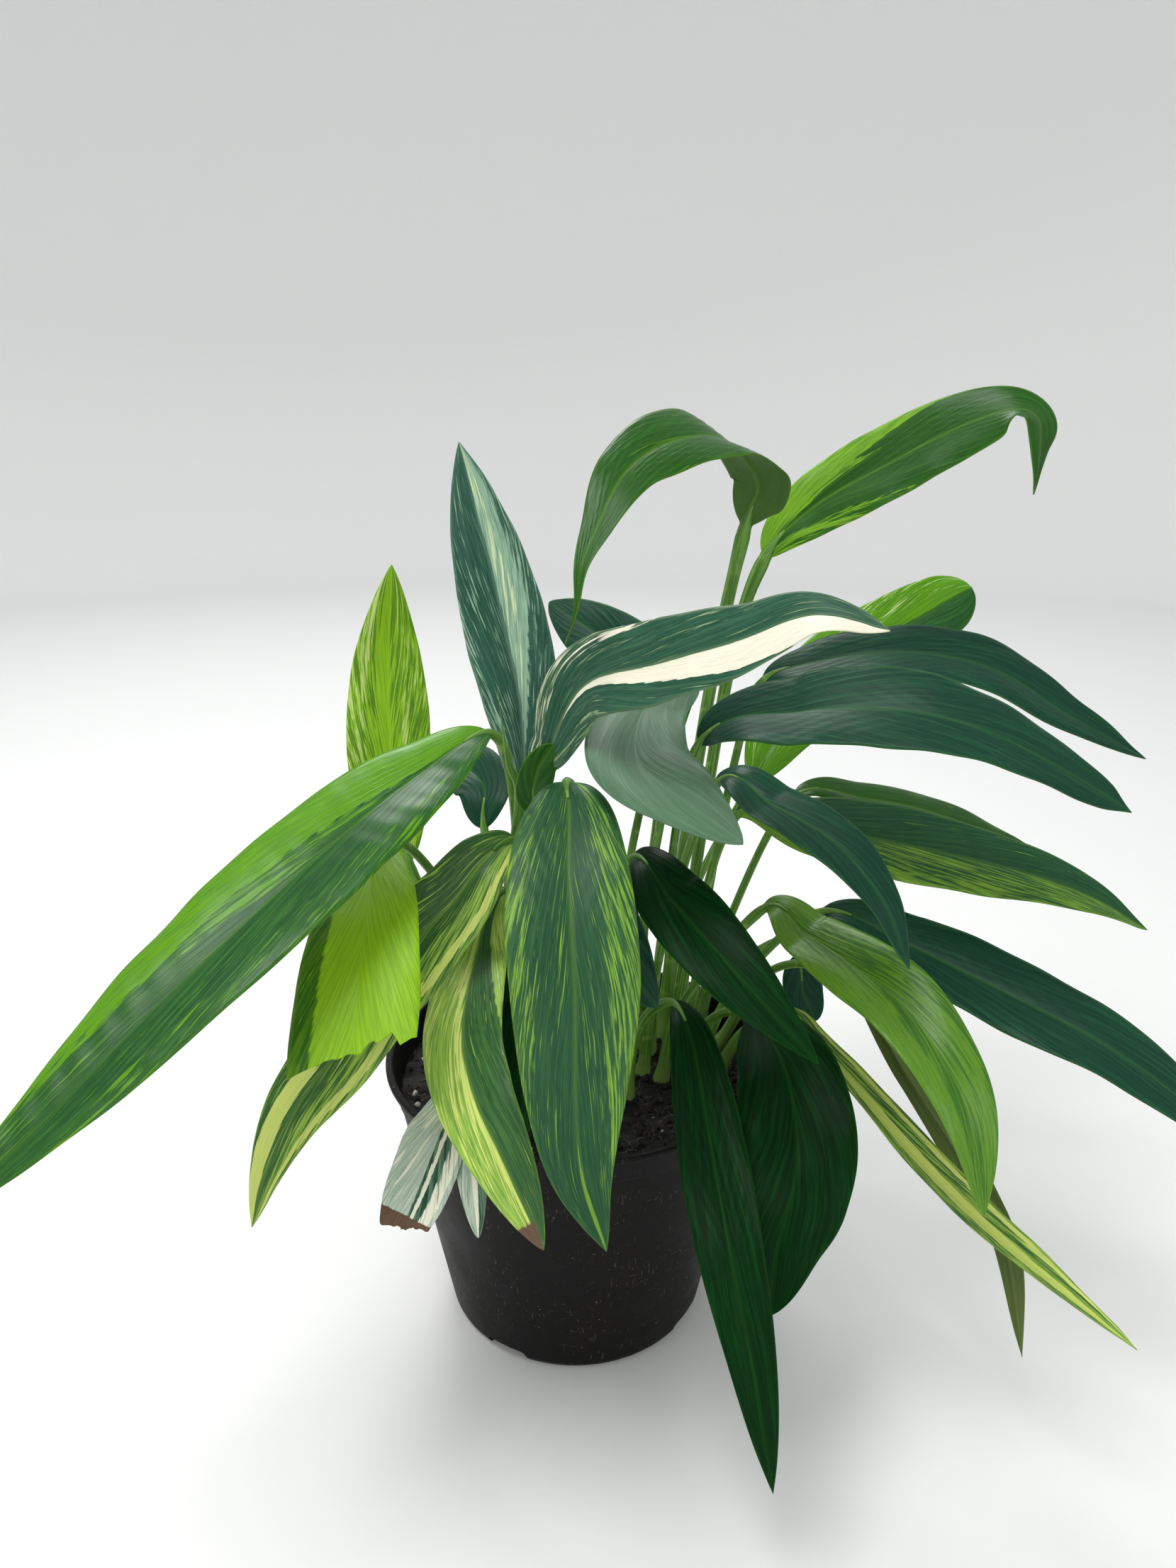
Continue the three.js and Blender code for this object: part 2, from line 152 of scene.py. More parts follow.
def grid_faces(rows, columns):
    """Four-sided faces of a grid of rows by columns points, whose last column joins the first."""
    i, j = np.meshgrid(np.arange(rows - 1), np.arange(columns), indexing="ij")
    k = (j + 1) % columns
    low, high = i * columns, (i + 1) * columns
    return np.stack([low + j, high + j, high + k, low + k], -1).reshape(-1, 4)


def closed_tube(rows, sides):
    """Faces of a tube of rings whose two ends are fans to the last two points."""
    ring = np.arange(sides)
    following = (ring + 1) % sides
    last = (rows - 1) * sides
    low = np.stack([ring, following, 0 * ring + rows * sides], -1)
    high = np.stack([last + following, last + ring, 0 * ring + rows * sides + 1], -1)
    return [grid_faces(rows, sides), np.vstack([low, high])]


def unit(vectors):
    """Vectors of length one, along the last axis."""
    return vectors / np.maximum(np.linalg.norm(vectors, axis=-1, keepdims=True), 1e-12)


def square_to(along, vectors):
    """The vectors less their part along unit vectors, at length one."""
    return unit(vectors - (vectors * along).sum(-1, keepdims=True) * along)


def read_at(steps, places, values):
    """Vectors known at rising places, read in straight lines between them at each step."""
    return np.stack([np.interp(steps, places, values[:, k]) for k in range(3)], -1)


def line_through(points, first, last, count=LINE_STEPS):
    """Points evenly spaced along a smooth line, from its point `first` to its point `last`, and
    the length of that stretch.

    Between two points the line is a cubic whose slope at each point is half the step from the
    point before to the point after. The ends are continued straight.
    """
    points = np.asarray(points, float)
    padded = np.vstack([2 * points[0] - points[1], points, 2 * points[-1] - points[-2]])
    place = np.linspace(first, last, LINE_STEPS)
    i = np.minimum(place.astype(int), len(points) - 2)
    t = (place - i)[:, None]
    before, start, end, after = padded[i], padded[i + 1], padded[i + 2], padded[i + 3]
    slope_start = (end - before) / 2
    slope_end = (after - start) / 2
    line = (
        (2 * t**3 - 3 * t**2 + 1) * start
        + (t**3 - 2 * t**2 + t) * slope_start
        + (3 * t**2 - 2 * t**3) * end
        + (t**3 - t**2) * slope_end
    )
    run = np.concatenate([[0], np.cumsum(np.linalg.norm(np.diff(line, axis=0), axis=1))])
    steps = np.linspace(0, run[-1], count)
    return read_at(steps, run, line), run[-1]


def soft_step(low, high, x):
    """Rises smoothly from 0 at `low` to 1 at `high`."""
    t = np.clip((x - low) / (high - low), 0, 1)
    return t * t * (3 - 2 * t)


def soft_box(x, low, high, soft):
    """1 between low and high, fading to 0 over `soft` outside them."""
    return soft_step(low - soft, low + soft, x) * (1 - soft_step(high - soft, high + soft, x))


def waves(x, y, seed, octaves=4):
    """A sum of crossed sine waves, each octave twice as fine, turned and 0.55 times as strong: a
    smooth uneven field."""
    draw = np.random.default_rng(seed)
    total = np.zeros(np.broadcast(x, y).shape)
    strength = 1.0
    for octave in range(octaves):
        for _ in range(3):
            turn, phase = draw.uniform(0, 2 * np.pi, 2)
            wave = 2**octave * draw.uniform(0.8, 1.25)
            across = x * np.cos(turn) + y * np.sin(turn)
            total = total + strength * np.sin(wave * across + phase) / 3
        strength *= 0.55
    return total


# ==== Materials ==============================================================================
def colour(hex_value):
    """An sRGB hex colour as the linear red, green, blue and alpha that a shader takes."""
    parts = np.array([int(hex_value[i : i + 2], 16) for i in (1, 3, 5)]) / 255
    linear = np.where(parts <= 0.04045, parts / 12.92, ((parts + 0.055) / 1.055) ** 2.4)
    return (*linear, 1.0)


def node(tree, kind, inputs, **settings):
    """Adds one shader node with its settings and inputs, and gives its first live output.

    `kind` leaves out "ShaderNode". `inputs` is a list in the node's order, or a dictionary by
    name or number. A socket there is linked, None is left alone, and anything else is set.
    """
    made = tree.nodes.new("ShaderNode" + kind)
    for key, value in settings.items():
        setattr(made, key, value)
    for key, value in inputs.items() if isinstance(inputs, dict) else enumerate(inputs):
        if isinstance(value, bpy.types.NodeSocket):
            tree.links.new(value, made.inputs[key])
        elif value is not None:
            made.inputs[key].default_value = value
    return next((socket for socket in made.outputs if socket.enabled), None)


def finished(material, inputs):
    """Joins a Principled shader with these inputs to the material's output."""
    tree = material.node_tree
    shader = node(tree, "BsdfPrincipled", inputs)
    node(tree, "OutputMaterial", [shader])
    return material


def new_material(name):
    """An empty material and its node tree."""
    material = bpy.data.materials.new(name)
    material.use_nodes = True
    material.node_tree.nodes.clear()
    return material, material.node_tree


SMOOTH = {"interpolation_type": "SMOOTHSTEP"}
COLOURS = {"data_type": "RGBA"}


def leaf_material(name, tones, roughness, fine=1.0, shine=0.22):
    """A waxy aroid leaf: deep and fresh green in fine streaks that follow the veins, with lime
    and cream patches where the mesh asks for them. `tones` are those four colours.

    Plant wax has an IOR near 1.45 and gives a soft pale highlight; the underside is duller. The
    `vein` vector runs across the veins and along them in metres, and its last part is the leaf's.
    Streaks are about 2 mm wide, divided by `fine`, and 45 mm long, and hairlines 0.6 mm wide.
    `shine` is the strength of the wax's reflection.
    """
    material, tree = new_material(name)
    deep, fresh, lime, cream = (colour(tone) for tone in tones.split())
    vein = node(tree, "Attribute", [], attribute_name="vein").node.outputs["Vector"]
    mask = {
        key: node(tree, "Attribute", [], attribute_name=key).node.outputs["Fac"]
        for key in ("lime", "cream", "brown", "under", "pale")
    }
    noise = []
    for scale, detail, rough in (
        ((480 * fine, 22, 90), 4.0, 0.6), ((1700, 60, 90), 2.0, 0.6), ((70, 30, 50), 3.0, 0.5)
    ):
        place = node(tree, "Mapping", {"Vector": vein, "Scale": scale})
        inputs = {"Vector": place, "Scale": 1.0, "Detail": detail, "Roughness": rough}
        noise.append(node(tree, "TexNoise", inputs))
    streak, hair, cloud = noise
    patchy = node(tree, "Mix", [0.38, None, streak, hair])
    patchy = node(tree, "MapRange", [patchy, 0.34, 0.66])

    fresher = node(tree, "MapRange", [patchy, 0.30, 0.85, 0.0, 0.8], **SMOOTH)
    shade = node(tree, "MapRange", [cloud, 0.4, 0.7, 0.0, 0.5], **SMOOTH)
    layers = [(fresher, fresh), (shade, deep)]

    # Each patch is solid where its mask is above the streaks' noise, and streaked near it.
    for key, soft, fill, second, low, high, most in (
        ("lime", 0.16, lime, fresh, 0.35, 0.70, 0.60),
        ("cream", 0.07, cream, lime, 0.45, 0.75, 0.30),
    ):
        over = node(tree, "Math", [mask[key], patchy], operation="SUBTRACT")
        share = node(tree, "MapRange", [over, -soft, soft], **SMOOTH)
        tone = node(tree, "MapRange", [hair, low, high, 0.0, most], **SMOOTH)
        tone = node(tree, "Mix", {0: tone, 6: fill, 7: second}, **COLOURS)
        layers.append((share, tone))
    solid_lime = layers[2][0]

    # Fine parallel veins, a little lighter than the blade, and a pale midrib and margin.
    across = node(tree, "SeparateXYZ", [vein])
    phase = node(tree, "Math", [across, 2 * np.pi / VEIN_SPACING], operation="MULTIPLY")
    crest = node(tree, "Math", [phase], operation="SINE")
    crest = node(tree, "MapRange", [crest, 0.78, 1.0], **SMOOTH)
    dark = node(tree, "Math", [crest, solid_lime], operation="MULTIPLY")
    lines = ((crest, 0.07, lime), (dark, 0.30, fresh), (mask["pale"], 0.30, lime))
    for share, strength, tone in lines:
        layers.append((node(tree, "Math", [share, strength], operation="MULTIPLY"), tone))

    # Dry brown tissue at a broken end, and the paler, duller back of the blade.
    dry = node(tree, "Math", [patchy, 0.5, mask["brown"]], operation="MULTIPLY_ADD")
    dry = node(tree, "MapRange", [dry, 0.75, 0.95], **SMOOTH)
    brown = node(tree, "Mix", {0: hair, 6: colour("#2f2018"), 7: colour("#8a6f58")}, **COLOURS)
    back = node(tree, "Math", [mask["under"], 0.35], operation="MULTIPLY")
    green = deep
    for share, tone in layers + [(dry, brown), (back, colour("#6f8a4a"))]:
        green = node(tree, "Mix", {0: share, 6: green, 7: tone}, **COLOURS)

    gloss = node(tree, "MapRange", [cloud, 0.3, 0.7, roughness - 0.05, roughness + 0.08])
    dull = node(tree, "Math", [mask["under"], 0.58], operation="MULTIPLY")
    gloss = node(tree, "Math", [gloss, dull], operation="MAXIMUM")
    dull = node(tree, "Math", [dry, 0.75], operation="MULTIPLY")
    gloss = node(tree, "Math", [gloss, dull], operation="MAXIMUM")
    height = node(tree, "Math", [crest, 0.8, hair], operation="MULTIPLY_ADD")
    bump = node(tree, "Bump", {"Height": height, "Strength": 0.35, "Distance": 0.12 * MM})
    shader = {
        "Base Color": green, "Roughness": gloss, "IOR": 1.45, "Normal": bump,
        "Specular IOR Level": shine,
        "Subsurface Weight": 0.06, "Subsurface Radius": (0.001, 0.002, 0.0005),
    }
    return finished(material, shader)


def stalk_material():
    """A smooth green leaf stalk: fine lengthwise ribs 0.7 mm apart, pale lenticels, and paler
    green where it leaves the soil. Plant wax over green tissue, IOR 1.45."""
    material, tree = new_material("fresh_leaf_stalk")
    place = node(tree, "TexCoord", []).node.outputs["Object"]
    run = node(tree, "Attribute", [], attribute_name="vein").node.outputs["Vector"]
    foot = node(tree, "Attribute", [], attribute_name="foot").node.outputs["Fac"]
    ribs = node(tree, "Mapping", {"Vector": run, "Scale": (1400, 30, 60)})
    rib = node(tree, "TexNoise", {"Vector": ribs, "Scale": 1.0, "Detail": 2.0})
    spots = node(tree, "TexNoise", {"Vector": place, "Scale": 160.0, "Detail": 3.0})
    share = node(tree, "MapRange", [rib, 0.35, 0.65], **SMOOTH)
    green = node(tree, "Mix", {0: share, 6: colour("#3c681a"), 7: colour("#6a9a38")}, **COLOURS)
    share = node(tree, "MapRange", [spots, 0.55, 0.75, 0.0, 0.6], **SMOOTH)
    green = node(tree, "Mix", {0: share, 6: green, 7: colour("#93b35c")}, **COLOURS)
    green = node(tree, "Mix", {0: foot, 6: green, 7: colour("#7c9c4e")}, **COLOURS)
    bump = node(tree, "Bump", {"Height": rib, "Strength": 0.4, "Distance": 0.15 * MM})
    shader = {
        "Base Color": green, "Roughness": 0.42, "IOR": 1.45, "Normal": bump,
        "Subsurface Weight": 0.08, "Subsurface Radius": (0.001, 0.002, 0.0005),
    }
    return finished(material, shader)


def pot_material():
    """Black recycled polypropylene, injection moulded: satin, with pale handling scratches,
    specks of dry peat and a fine mould grain. IOR of polypropylene, 1.49. The real grain is
    about 0.1 mm and is drawn at 0.4 mm so that it shows."""
    material, tree = new_material("moulded_black_polypropylene")
    place = node(tree, "TexCoord", []).node.outputs["Object"]
    level = node(tree, "Mapping", {"Vector": place, "Scale": (150, 150, 1300)})
    tilt = {"Rotation": (0.5, 0.3, 0.9), "Scale": (1200, 160, 160)}
    tilted = node(tree, "Mapping", {"Vector": place, **tilt})
    noise = []
    for vector, scale, detail, rough in (
        (place, 2500.0, 2.0, 0.5), (place, 38.0, 4.0, 0.6), (level, 1.0, 3.0, 0.7),
        (tilted, 1.0, 2.0, 0.6), (place, 480.0, 3.0, 0.7),
    ):
        inputs = {"Vector": vector, "Scale": scale, "Detail": detail, "Roughness": rough}
        noise.append(node(tree, "TexNoise", inputs))
    grain, mottle, scratch, crossed, dust = noise

    share = node(tree, "MapRange", [mottle, 0.35, 0.70], **SMOOTH)
    body = node(tree, "Mix", {0: share, 6: colour("#090808"), 7: colour("#110e0d")}, **COLOURS)
    worn = node(tree, "MapRange", [mottle, 0.40, 0.62, 0.15, 1.0], **SMOOTH)
    lines = [
        node(tree, "MapRange", [line, 0.64, 0.72], **SMOOTH) for line in (scratch, crossed)
    ]
    scuff = node(tree, "Math", lines, operation="MAXIMUM")
    scuff = node(tree, "Math", [scuff, worn], operation="MULTIPLY")
    share = node(tree, "Math", [scuff, 0.35], operation="MULTIPLY")
    body = node(tree, "Mix", {0: share, 6: body, 7: colour("#7a7676")}, **COLOURS)
    speck = node(tree, "MapRange", [dust, 0.67, 0.73, 0.0, 0.5], **SMOOTH)
    speck = node(tree, "Math", [speck, worn], operation="MULTIPLY")
    body = node(tree, "Mix", {0: speck, 6: body, 7: colour("#a8a39e")}, **COLOURS)

    gloss = node(tree, "MapRange", [mottle, 0.3, 0.7, 0.45, 0.60])
    dull = node(tree, "Math", [scuff, 0.75], operation="MULTIPLY")
    gloss = node(tree, "Math", [gloss, dull], operation="MAXIMUM")
    height = node(tree, "Math", [scuff, -1.5, grain], operation="MULTIPLY_ADD")
    bump = node(tree, "Bump", {"Height": height, "Strength": 0.3, "Distance": 0.06 * MM})
    shader = {
        "Base Color": body, "Roughness": gloss, "IOR": 1.49, "Normal": bump,
        "Specular IOR Level": 0.14,
    }
    return finished(material, shader)


def crumb_material(name, dark, light, size, damp=0.75):
    """Loose natural matter in two tones, crumbly at `size` metres: damp patches are smoother."""
    material, tree = new_material(name)
    place = node(tree, "TexCoord", []).node.outputs["Object"]
    inputs = {"Vector": place, "Scale": 1 / size, "Detail": 5.0, "Roughness": 0.7}
    crumbs = node(tree, "TexNoise", inputs)
    patches = node(tree, "TexNoise", {"Vector": place, "Scale": 90.0, "Detail": 3.0})
    share = node(tree, "MapRange", [crumbs, 0.40, 0.70], **SMOOTH)
    body = node(tree, "Mix", {0: share, 6: colour(dark), 7: colour(light)}, **COLOURS)
    share = node(tree, "MapRange", [patches, 0.45, 0.70, 0.0, 0.5], **SMOOTH)
    body = node(tree, "Mix", {0: share, 6: body, 7: colour(dark)}, **COLOURS)
    gloss = node(tree, "MapRange", [patches, 0.35, 0.65, 0.95, damp])
    bump = node(tree, "Bump", {"Height": crumbs, "Strength": 0.8, "Distance": size})
    return finished(material, {"Base Color": body, "Roughness": gloss, "Normal": bump})


def floor_material():
    """A plain pale painted floor, matte, with a trace of unevenness in its sheen."""
    material, tree = new_material("matte_pale_floor")
    place = node(tree, "TexCoord", []).node.outputs["Object"]
    cloud = node(tree, "TexNoise", {"Vector": place, "Scale": 3.0, "Detail": 2.0})
    gloss = node(tree, "MapRange", [cloud, 0.3, 0.7, 0.75, 0.85])
    shader = {"Base Color": colour("#f4f4f2"), "Roughness": gloss}
    return finished(material, shader)


# ==== Leaves =================================================================================
# One row for every leaf of the part, in the part's own millimetres from the middle of the soil.
# A row gives the name, look, width, place of the widest part, draw of the ends and fold in
# degrees. `face` is the way the upper surface looks, from base to tip. `lime`, `cream` and
# `brown` are patches: from and to along the midrib, from and to across the blade, where -1 and
# 1 are the margins, and how much is filled: 0.5 is half streaked, above 1 is solid. `kept` is
# the share of the outline that is left of a broken leaf, `torn` how much of the length is
# missing at the two margins, `rounded` the share of the end that is rounded, and `stout` how
# much thicker the stalk is than the others. `finish` is a look that isn't the slot's own.
# The deep_shade finish is painted shade: darker leaf colours for leaves that lie in the plant's
# shade.
def row(*values, **more):
    """A leaf of the tables, whole and on a stalk of common thickness unless told otherwise."""
    fields = ("name", "look", "width", "widest", "taper", "fold")
    return {"kept": 1, "stout": 1.0, "torn": (0, 0), **dict(zip(fields, values)), **more}


LEAVES = [
    row("big_left", "lime_streaked", 47, 0.42, 1.5, 10,
        stalk=[[-22, -6, 1], [-23, -12, 70], [-25, -18, 140]],
        face=[[0, -0.5, 1], [-0.3, -0.7, 0.7]],
        midrib=[[-33, -25, 167], [-56, -50, 160], [-77, -80, 150], [-107, -115, 129],
            [-135, -142, 107], [-159, -165, 87], [-183, -187, 67]],
        lime=[(-1, 0.03, -2, 0.0, 1.5), (-1, 0.22, -2, -0.5, 1.1), (0.03, 0.3, -2, -0.05, 0.5),
            (0.25, 2, -2, 0, 0.26), (-1, 2, 0, 2, 0.1), (-1, 0.35, 0.55, 2, 0.32)]),
    row("upright_lime", "light_green", 38, 0.42, 1.5, 8,
        stalk=[[-38, 22, 1], [-50, 28, 40], [-66, 32, 66]], face=[[0.1, -1, 0], [0.2, -1, 0]],
        midrib=[[-76, 34, 89], [-83, 42, 116], [-85, 52, 157], [-84, 58, 188], [-81, 60, 221]],
        lime=[(-1, 2, -2, 2, 0.55), (-1, 2, -0.1, 0.35, 0.8)],
        cream=[(-1, 2, -2, -0.3, 0.34), (-1, 2, 0.5, 2, 0.42)]),
    row("tall_silver", "silver_striped", 38, 0.42, 1.5, 12,
        stalk=[[-14, 2, 1], [-16, 0, 70]], face=[[0.4, -1, 0], [0.3, -1, 0.1]],
        midrib=[[-20, -8, 136], [-22, 4, 169], [-31, 22, 210], [-41, 36, 247], [-48, 46, 274]],
        lime=[(0.04, 2, -0.62, -0.03, 1.3), (-0.1, 2, -2, -0.5, 0.42), (-1, 2, -2, 2, 0.22),
            (-1, -0.12, 0.3, 2, 0.4)],
        cream=[(0.1, 2, -0.42, -0.06, 0.46)]),
    row("arched_top", "mid_green", 38, 0.28, 2.4, 10, stout=1.45,
        stalk=[[42, 30, 1], [48, 30, 80], [60, 26, 180]],
        face=[[0.6, 0.8, 0.3], [0.1, -0.6, 0.8], [-0.7, -0.9, 0.3]],
        midrib=[[71, 25, 241], [75, 20, 257], [67, 8, 270], [54, -4, 278], [38, -18, 277],
            [24, -30, 271], [15, -41, 262], [8, -52, 248], [3, -61, 236], [1, -68, 222],
            [-3, -73, 212]],
        lime=[(-1, 2, -2, 2, 0.02)]),
    row("top_right", "mid_green", 34, 0.4, 1.5, 12, stout=1.45,
        stalk=[[50, 40, 1], [57, 44, 80], [70, 46, 180]],
        face=[[-0.3, -0.9, 0.4], [-0.1, -0.8, 0.6], [0.6, -0.7, 0.5]],
        midrib=[[83, 44, 226], [103, 42, 248], [130, 34, 265], [155, 24, 280], [173, 14, 287],
            [180, 6, 284], [180, 0, 274], [179, -2, 256]],
        lime=[(-1, -0.1, 0.03, 2, 0.95), (-1, 0.02, 0.03, 0.5, 0.6), (-1, -0.2, -2, 0.2, 0.5)]),
    row("back_lime", "lime_streaked", 43, 0.48, 1.2, 8, kept=0.88, rounded=0.1,
        stalk=[[44, 48, 1], [58, 62, 60]], face=[[-0.2, -0.9, 0.5], [-0.1, -0.9, 0.5]],
        midrib=[[87, 78, 112], [105, 92, 139], [132, 108, 162], [170, 122, 182], [204, 132, 199]],
        lime=[(-1, 2, 0.03, 2, 0.8), (-1, 0.1, -2, 2, 1.3)], cream=[(-1, 2, 0.3, 2, 0.3)],
        brown=[(0.86, 0.885, 0.2, 0.42, 1.2)]),
    row("upper_right", "dark", 36, 0.42, 1.5, 10,
        stalk=[[54, 28, 1], [63, 40, 70], [77, 56, 140]], face=[[0, -0.5, 0.9], [0.2, -0.6, 0.8]],
        midrib=[[87, 58, 168], [109, 52, 178], [145, 42, 185], [182, 30, 180], [214, 20, 161],
            [246, 12, 144]],
        lime=[(-1, -0.3, -2, 2, 0.2)]),
    row("broad_right", "dark", 43, 0.42, 1.5, 10,
        stalk=[[34, 12, 1], [40, 12, 70]], face=[[0, -0.6, 0.85], [0.2, -0.6, 0.8]],
        midrib=[[52, 0, 155], [89, -22, 175], [121, -38, 180], [148, -50, 176], [172, -60, 166],
            [202, -70, 149]]),
    row("cream_band", "cream_banded", 32, 0.45, 1.4, 12,
        stalk=[[-6, -6, 1], [-7, -14, 70]], face=[[-0.5, -0.9, 0.3], [0.1, -0.7, 0.7]],
        midrib=[[-12, -35, 149], [-8, -42, 168], [4, -56, 194], [28, -80, 207], [52, -100, 218],
            [73, -116, 229], [93, -128, 227]],
        lime=[(-1, -0.25, -2, 2, 0.4), (-1, 2, 0, 2, 0.16), (-1, 0.05, -2, 0, 0.1)],
        cream=[(0.13, 0.78, -2, -0.02, 1.7), (-1, -0.12, 0.35, 2, 0.34)]),
    # Its grey-green colour is the leaf's own green with a painted sheen over it.
    row("grey_centre", "grey_green", 39, 0.42, 1.3, 8,
        stalk=[[24, 2, 1], [30, 6, 70], [42, 4, 150]], face=[[-0.2, -0.3, 1], [-0.2, -0.5, 0.85]],
        midrib=[[46, -8, 180], [27, -32, 178], [23, -62, 168], [37, -87, 161], [56, -105, 151]]),
    row("back_centre", "mid_green", 33, 0.45, 1.3, 8, finish="dark",
        stalk=[[18, 28, 1], [25, 42, 80]], face=[[-0.2, -1, 0.4], [-0.2, -1, 0.4]],
        midrib=[[42, 56, 169], [27, 70, 177], [9, 86, 186], [-12, 102, 197]]),
    row("front_streaked", "lime_streaked", 46, 0.4, 1.5, 8, finish="soft_streaks",
        stalk=[[2, -18, 1], [2, -28, 70], [0, -37, 140]], face=[[0, -0.6, 0.8], [0.1, -1, 0.2]],
        midrib=[[-3, -48, 154], [-2, -68, 150], [-2, -92, 133], [0, -120, 102], [0, -134, 75],
            [2, -144, 50], [10, -150, 25]],
        lime=[(-0.35, 0.45, -2, 2, 0.22), (-0.5, 0.22, 0.45, 2, 0.48), (-0.5, 0.1, -2, -0.6, 0.42),
            (0.78, 2, -2, 2, 0.8), (-1, 2, -2, 2, 0.12)]),
    row("left_long", "yellow_streaked", 35, 0.42, 1.5, 10,
        stalk=[[-16, -20, 1], [-16, -25, 80], [-17, -28, 112]],
        face=[[-0.1, -0.9, 0.4], [-0.3, -0.9, 0.4]],
        midrib=[[-24, -38, 127], [-34, -54, 126], [-45, -63, 113], [-57, -69, 101], [-73, -75, 82],
            [-87, -86, 63], [-103, -98, 44], [-112, -110, 25], [-116, -118, 10]],
        lime=[(-1, 2, -2, 2, 0.3), (-1, 2, 0.3, 2, 0.55)],
        cream=[(-1, 2, 0.66, 0.88, 0.9), (0.22, 2, -2, -0.15, 0.95)]),
    row("torn_lime", "light_green", 44, 0.55, 1.0, 8, kept=0.7, torn=(0.0, 0.17),
        stalk=[[-30, 0, 1], [-40, -6, 60], [-62, -22, 112]],
        face=[[-0.1, -0.8, 0.6], [-0.1, -1, 0.2]],
        midrib=[[-75, -45, 129], [-74, -84, 117], [-74, -110, 99], [-75, -131, 78]],
        lime=[(-1, 2, -0.62, 2, 1.5), (-1, 2, -2, 2, 0.1)]),
    row("yellow_front", "yellow_streaked", 32, 0.48, 1.5, 8,
        stalk=[[-14, -28, 1], [-16, -32, 60], [-18, -34, 92]],
        face=[[-0.3, -0.8, 0.5], [0, -1, 0.1]],
        midrib=[[-26, -40, 106], [-33, -49, 104], [-38, -57, 87], [-41, -90, 74], [-36, -112, 61],
            [-26, -128, 47], [-11, -142, 19]],
        lime=[(-1, 2, -2, -0.01, 0.88), (-1, -0.2, 0.4, 2, 0.8), (-1, 2, 0, 2, 0.16)],
        cream=[(-1, 2, -2, -0.02, 0.36), (0.12, 2, -0.22, -0.02, 0.72), (-1, -0.25, 0.45, 2, 0.35)],
        brown=[(0.93, 2, -2, 0.3, 1.2)]),
    row("broken_pale", "pale_torn", 27, 0.45, 1.2, 8, kept=0.86, torn=(0.02, 0.1), rounded=0.03,
        stalk=[[-26, -34, 1.5], [-32, -48, 34]], face=[[-0.3, -0.8, 0.4], [-0.4, -0.9, 0.2]],
        midrib=[[-45, -70, 37], [-51, -86, 29], [-58, -98, 14], [-66, -108, -3]],
        lime=[(-1, 2, -2, 0.06, 1.2), (-1, 2, 0.5, 2, 0.7)],
        cream=[(-1, 2, -2, 0.06, 0.3), (-1, 2, 0.16, 0.3, 1.2), (-1, 2, 0.52, 0.9, 0.75)],
        brown=[(0.86, 2, -2, 2, 1.3)]),
    row("shaded_front", "mid_green", 24, 0.45, 1.3, 8, finish="deep_shade",
        stalk=[[-4, -38, 1], [-5, -39, 48], [-7, -41, 72]],
        face=[[-0.1, -0.9, 0.4], [-0.1, -1, 0.1]],
        midrib=[[-12, -48, 90], [-18, -63, 84], [-20, -78, 57], [-20, -90, 27]],
        lime=[(-1, 2, 0.1, 2, 0.45)]),
    row("dark_centre", "dark", 28, 0.42, 1.5, 12, finish="deep_shade",
        stalk=[[14, -16, 1], [14, -22, 70]], face=[[-0.1, -0.7, 0.7], [-0.1, -0.8, 0.6]],
        midrib=[[23, -40, 120], [36, -70, 115], [52, -95, 104], [68, -112, 91], [82, -124, 79]]),
    row("glossy_right", "lime_streaked", 31, 0.42, 1.4, 10, finish="leaf_green",
        stalk=[[38, -12, 1], [46, -14, 40]], face=[[0.1, -0.6, 0.8], [0.1, -1, 0.2]],
        midrib=[[79, -20, 89], [93, -42, 88], [107, -64, 85], [120, -84, 80], [131, -104, 68],
            [138, -118, 51], [142, -130, 22]],
        lime=[(-1, 2, -2, 2, 0.5), (-1, 2, -2, -0.35, 0.85), (0.05, 2, 0.35, 2, 0.72),
            (-1, -0.25, -2, 2, 0.7)]),
    row("narrow_right", "dark", 25, 0.42, 1.5, 12,
        stalk=[[30, -8, 1], [38, -10, 70]], face=[[0.2, -0.6, 0.8], [0.3, -0.8, 0.5]],
        midrib=[[56, -30, 147], [74, -55, 147], [93, -80, 141], [106, -98, 127], [114, -110, 107]]),
    row("speckled_right", "lime_streaked", 38, 0.42, 1.5, 10, finish="soft_streaks",
        stalk=[[44, 8, 1], [54, 14, 60]], face=[[0, -0.6, 0.8], [0.1, -0.6, 0.8]],
        midrib=[[72, 20, 116], [104, 8, 115], [147, -6, 110], [188, -20, 104], [212, -28, 97],
            [234, -34, 85]],
        lime=[(-1, 2, -2, 0, 0.5), (-1, -0.15, -2, 0.1, 0.85), (-1, 2, 0, 2, 0.1)]),
    row("thin_back_right", "mid_green", 28, 0.42, 1.5, 10,
        stalk=[[60, 38, 1.5], [76, 56, 50]], face=[[0, -0.3, 1], [0.1, -0.3, 1]],
        midrib=[[108, 76, 105], [144, 82, 102], [181, 84, 93], [218, 82, 79], [243, 78, 66]],
        lime=[(-1, 2, -2, 2, 0.1)]),
    row("far_right", "dark", 36, 0.42, 1.5, 10,
        stalk=[[56, 4, 1.5], [74, 8, 40]], face=[[0, -0.6, 0.8], [0.1, -0.6, 0.8]],
        midrib=[[109, 5, 76], [141, -20, 72], [175, -45, 62], [206, -70, 53], [231, -90, 39],
            [257, -108, 21]]),
    row("long_front", "dark", 26, 0.42, 1.5, 10, finish="deep_shade",
        stalk=[[22, -26, 1], [25, -27, 30], [31, -29, 45]],
        face=[[-0.1, -0.7, 0.6], [-0.1, -1, 0.2]],
        midrib=[[40, -38, 55], [45, -54, 53], [48, -72, 42], [52, -102, 18], [56, -130, -3],
            [62, -148, -32], [68, -160, -69]]),
    row("broad_shaded", "dark", 45, 0.48, 1.3, 8, finish="deep_shade",
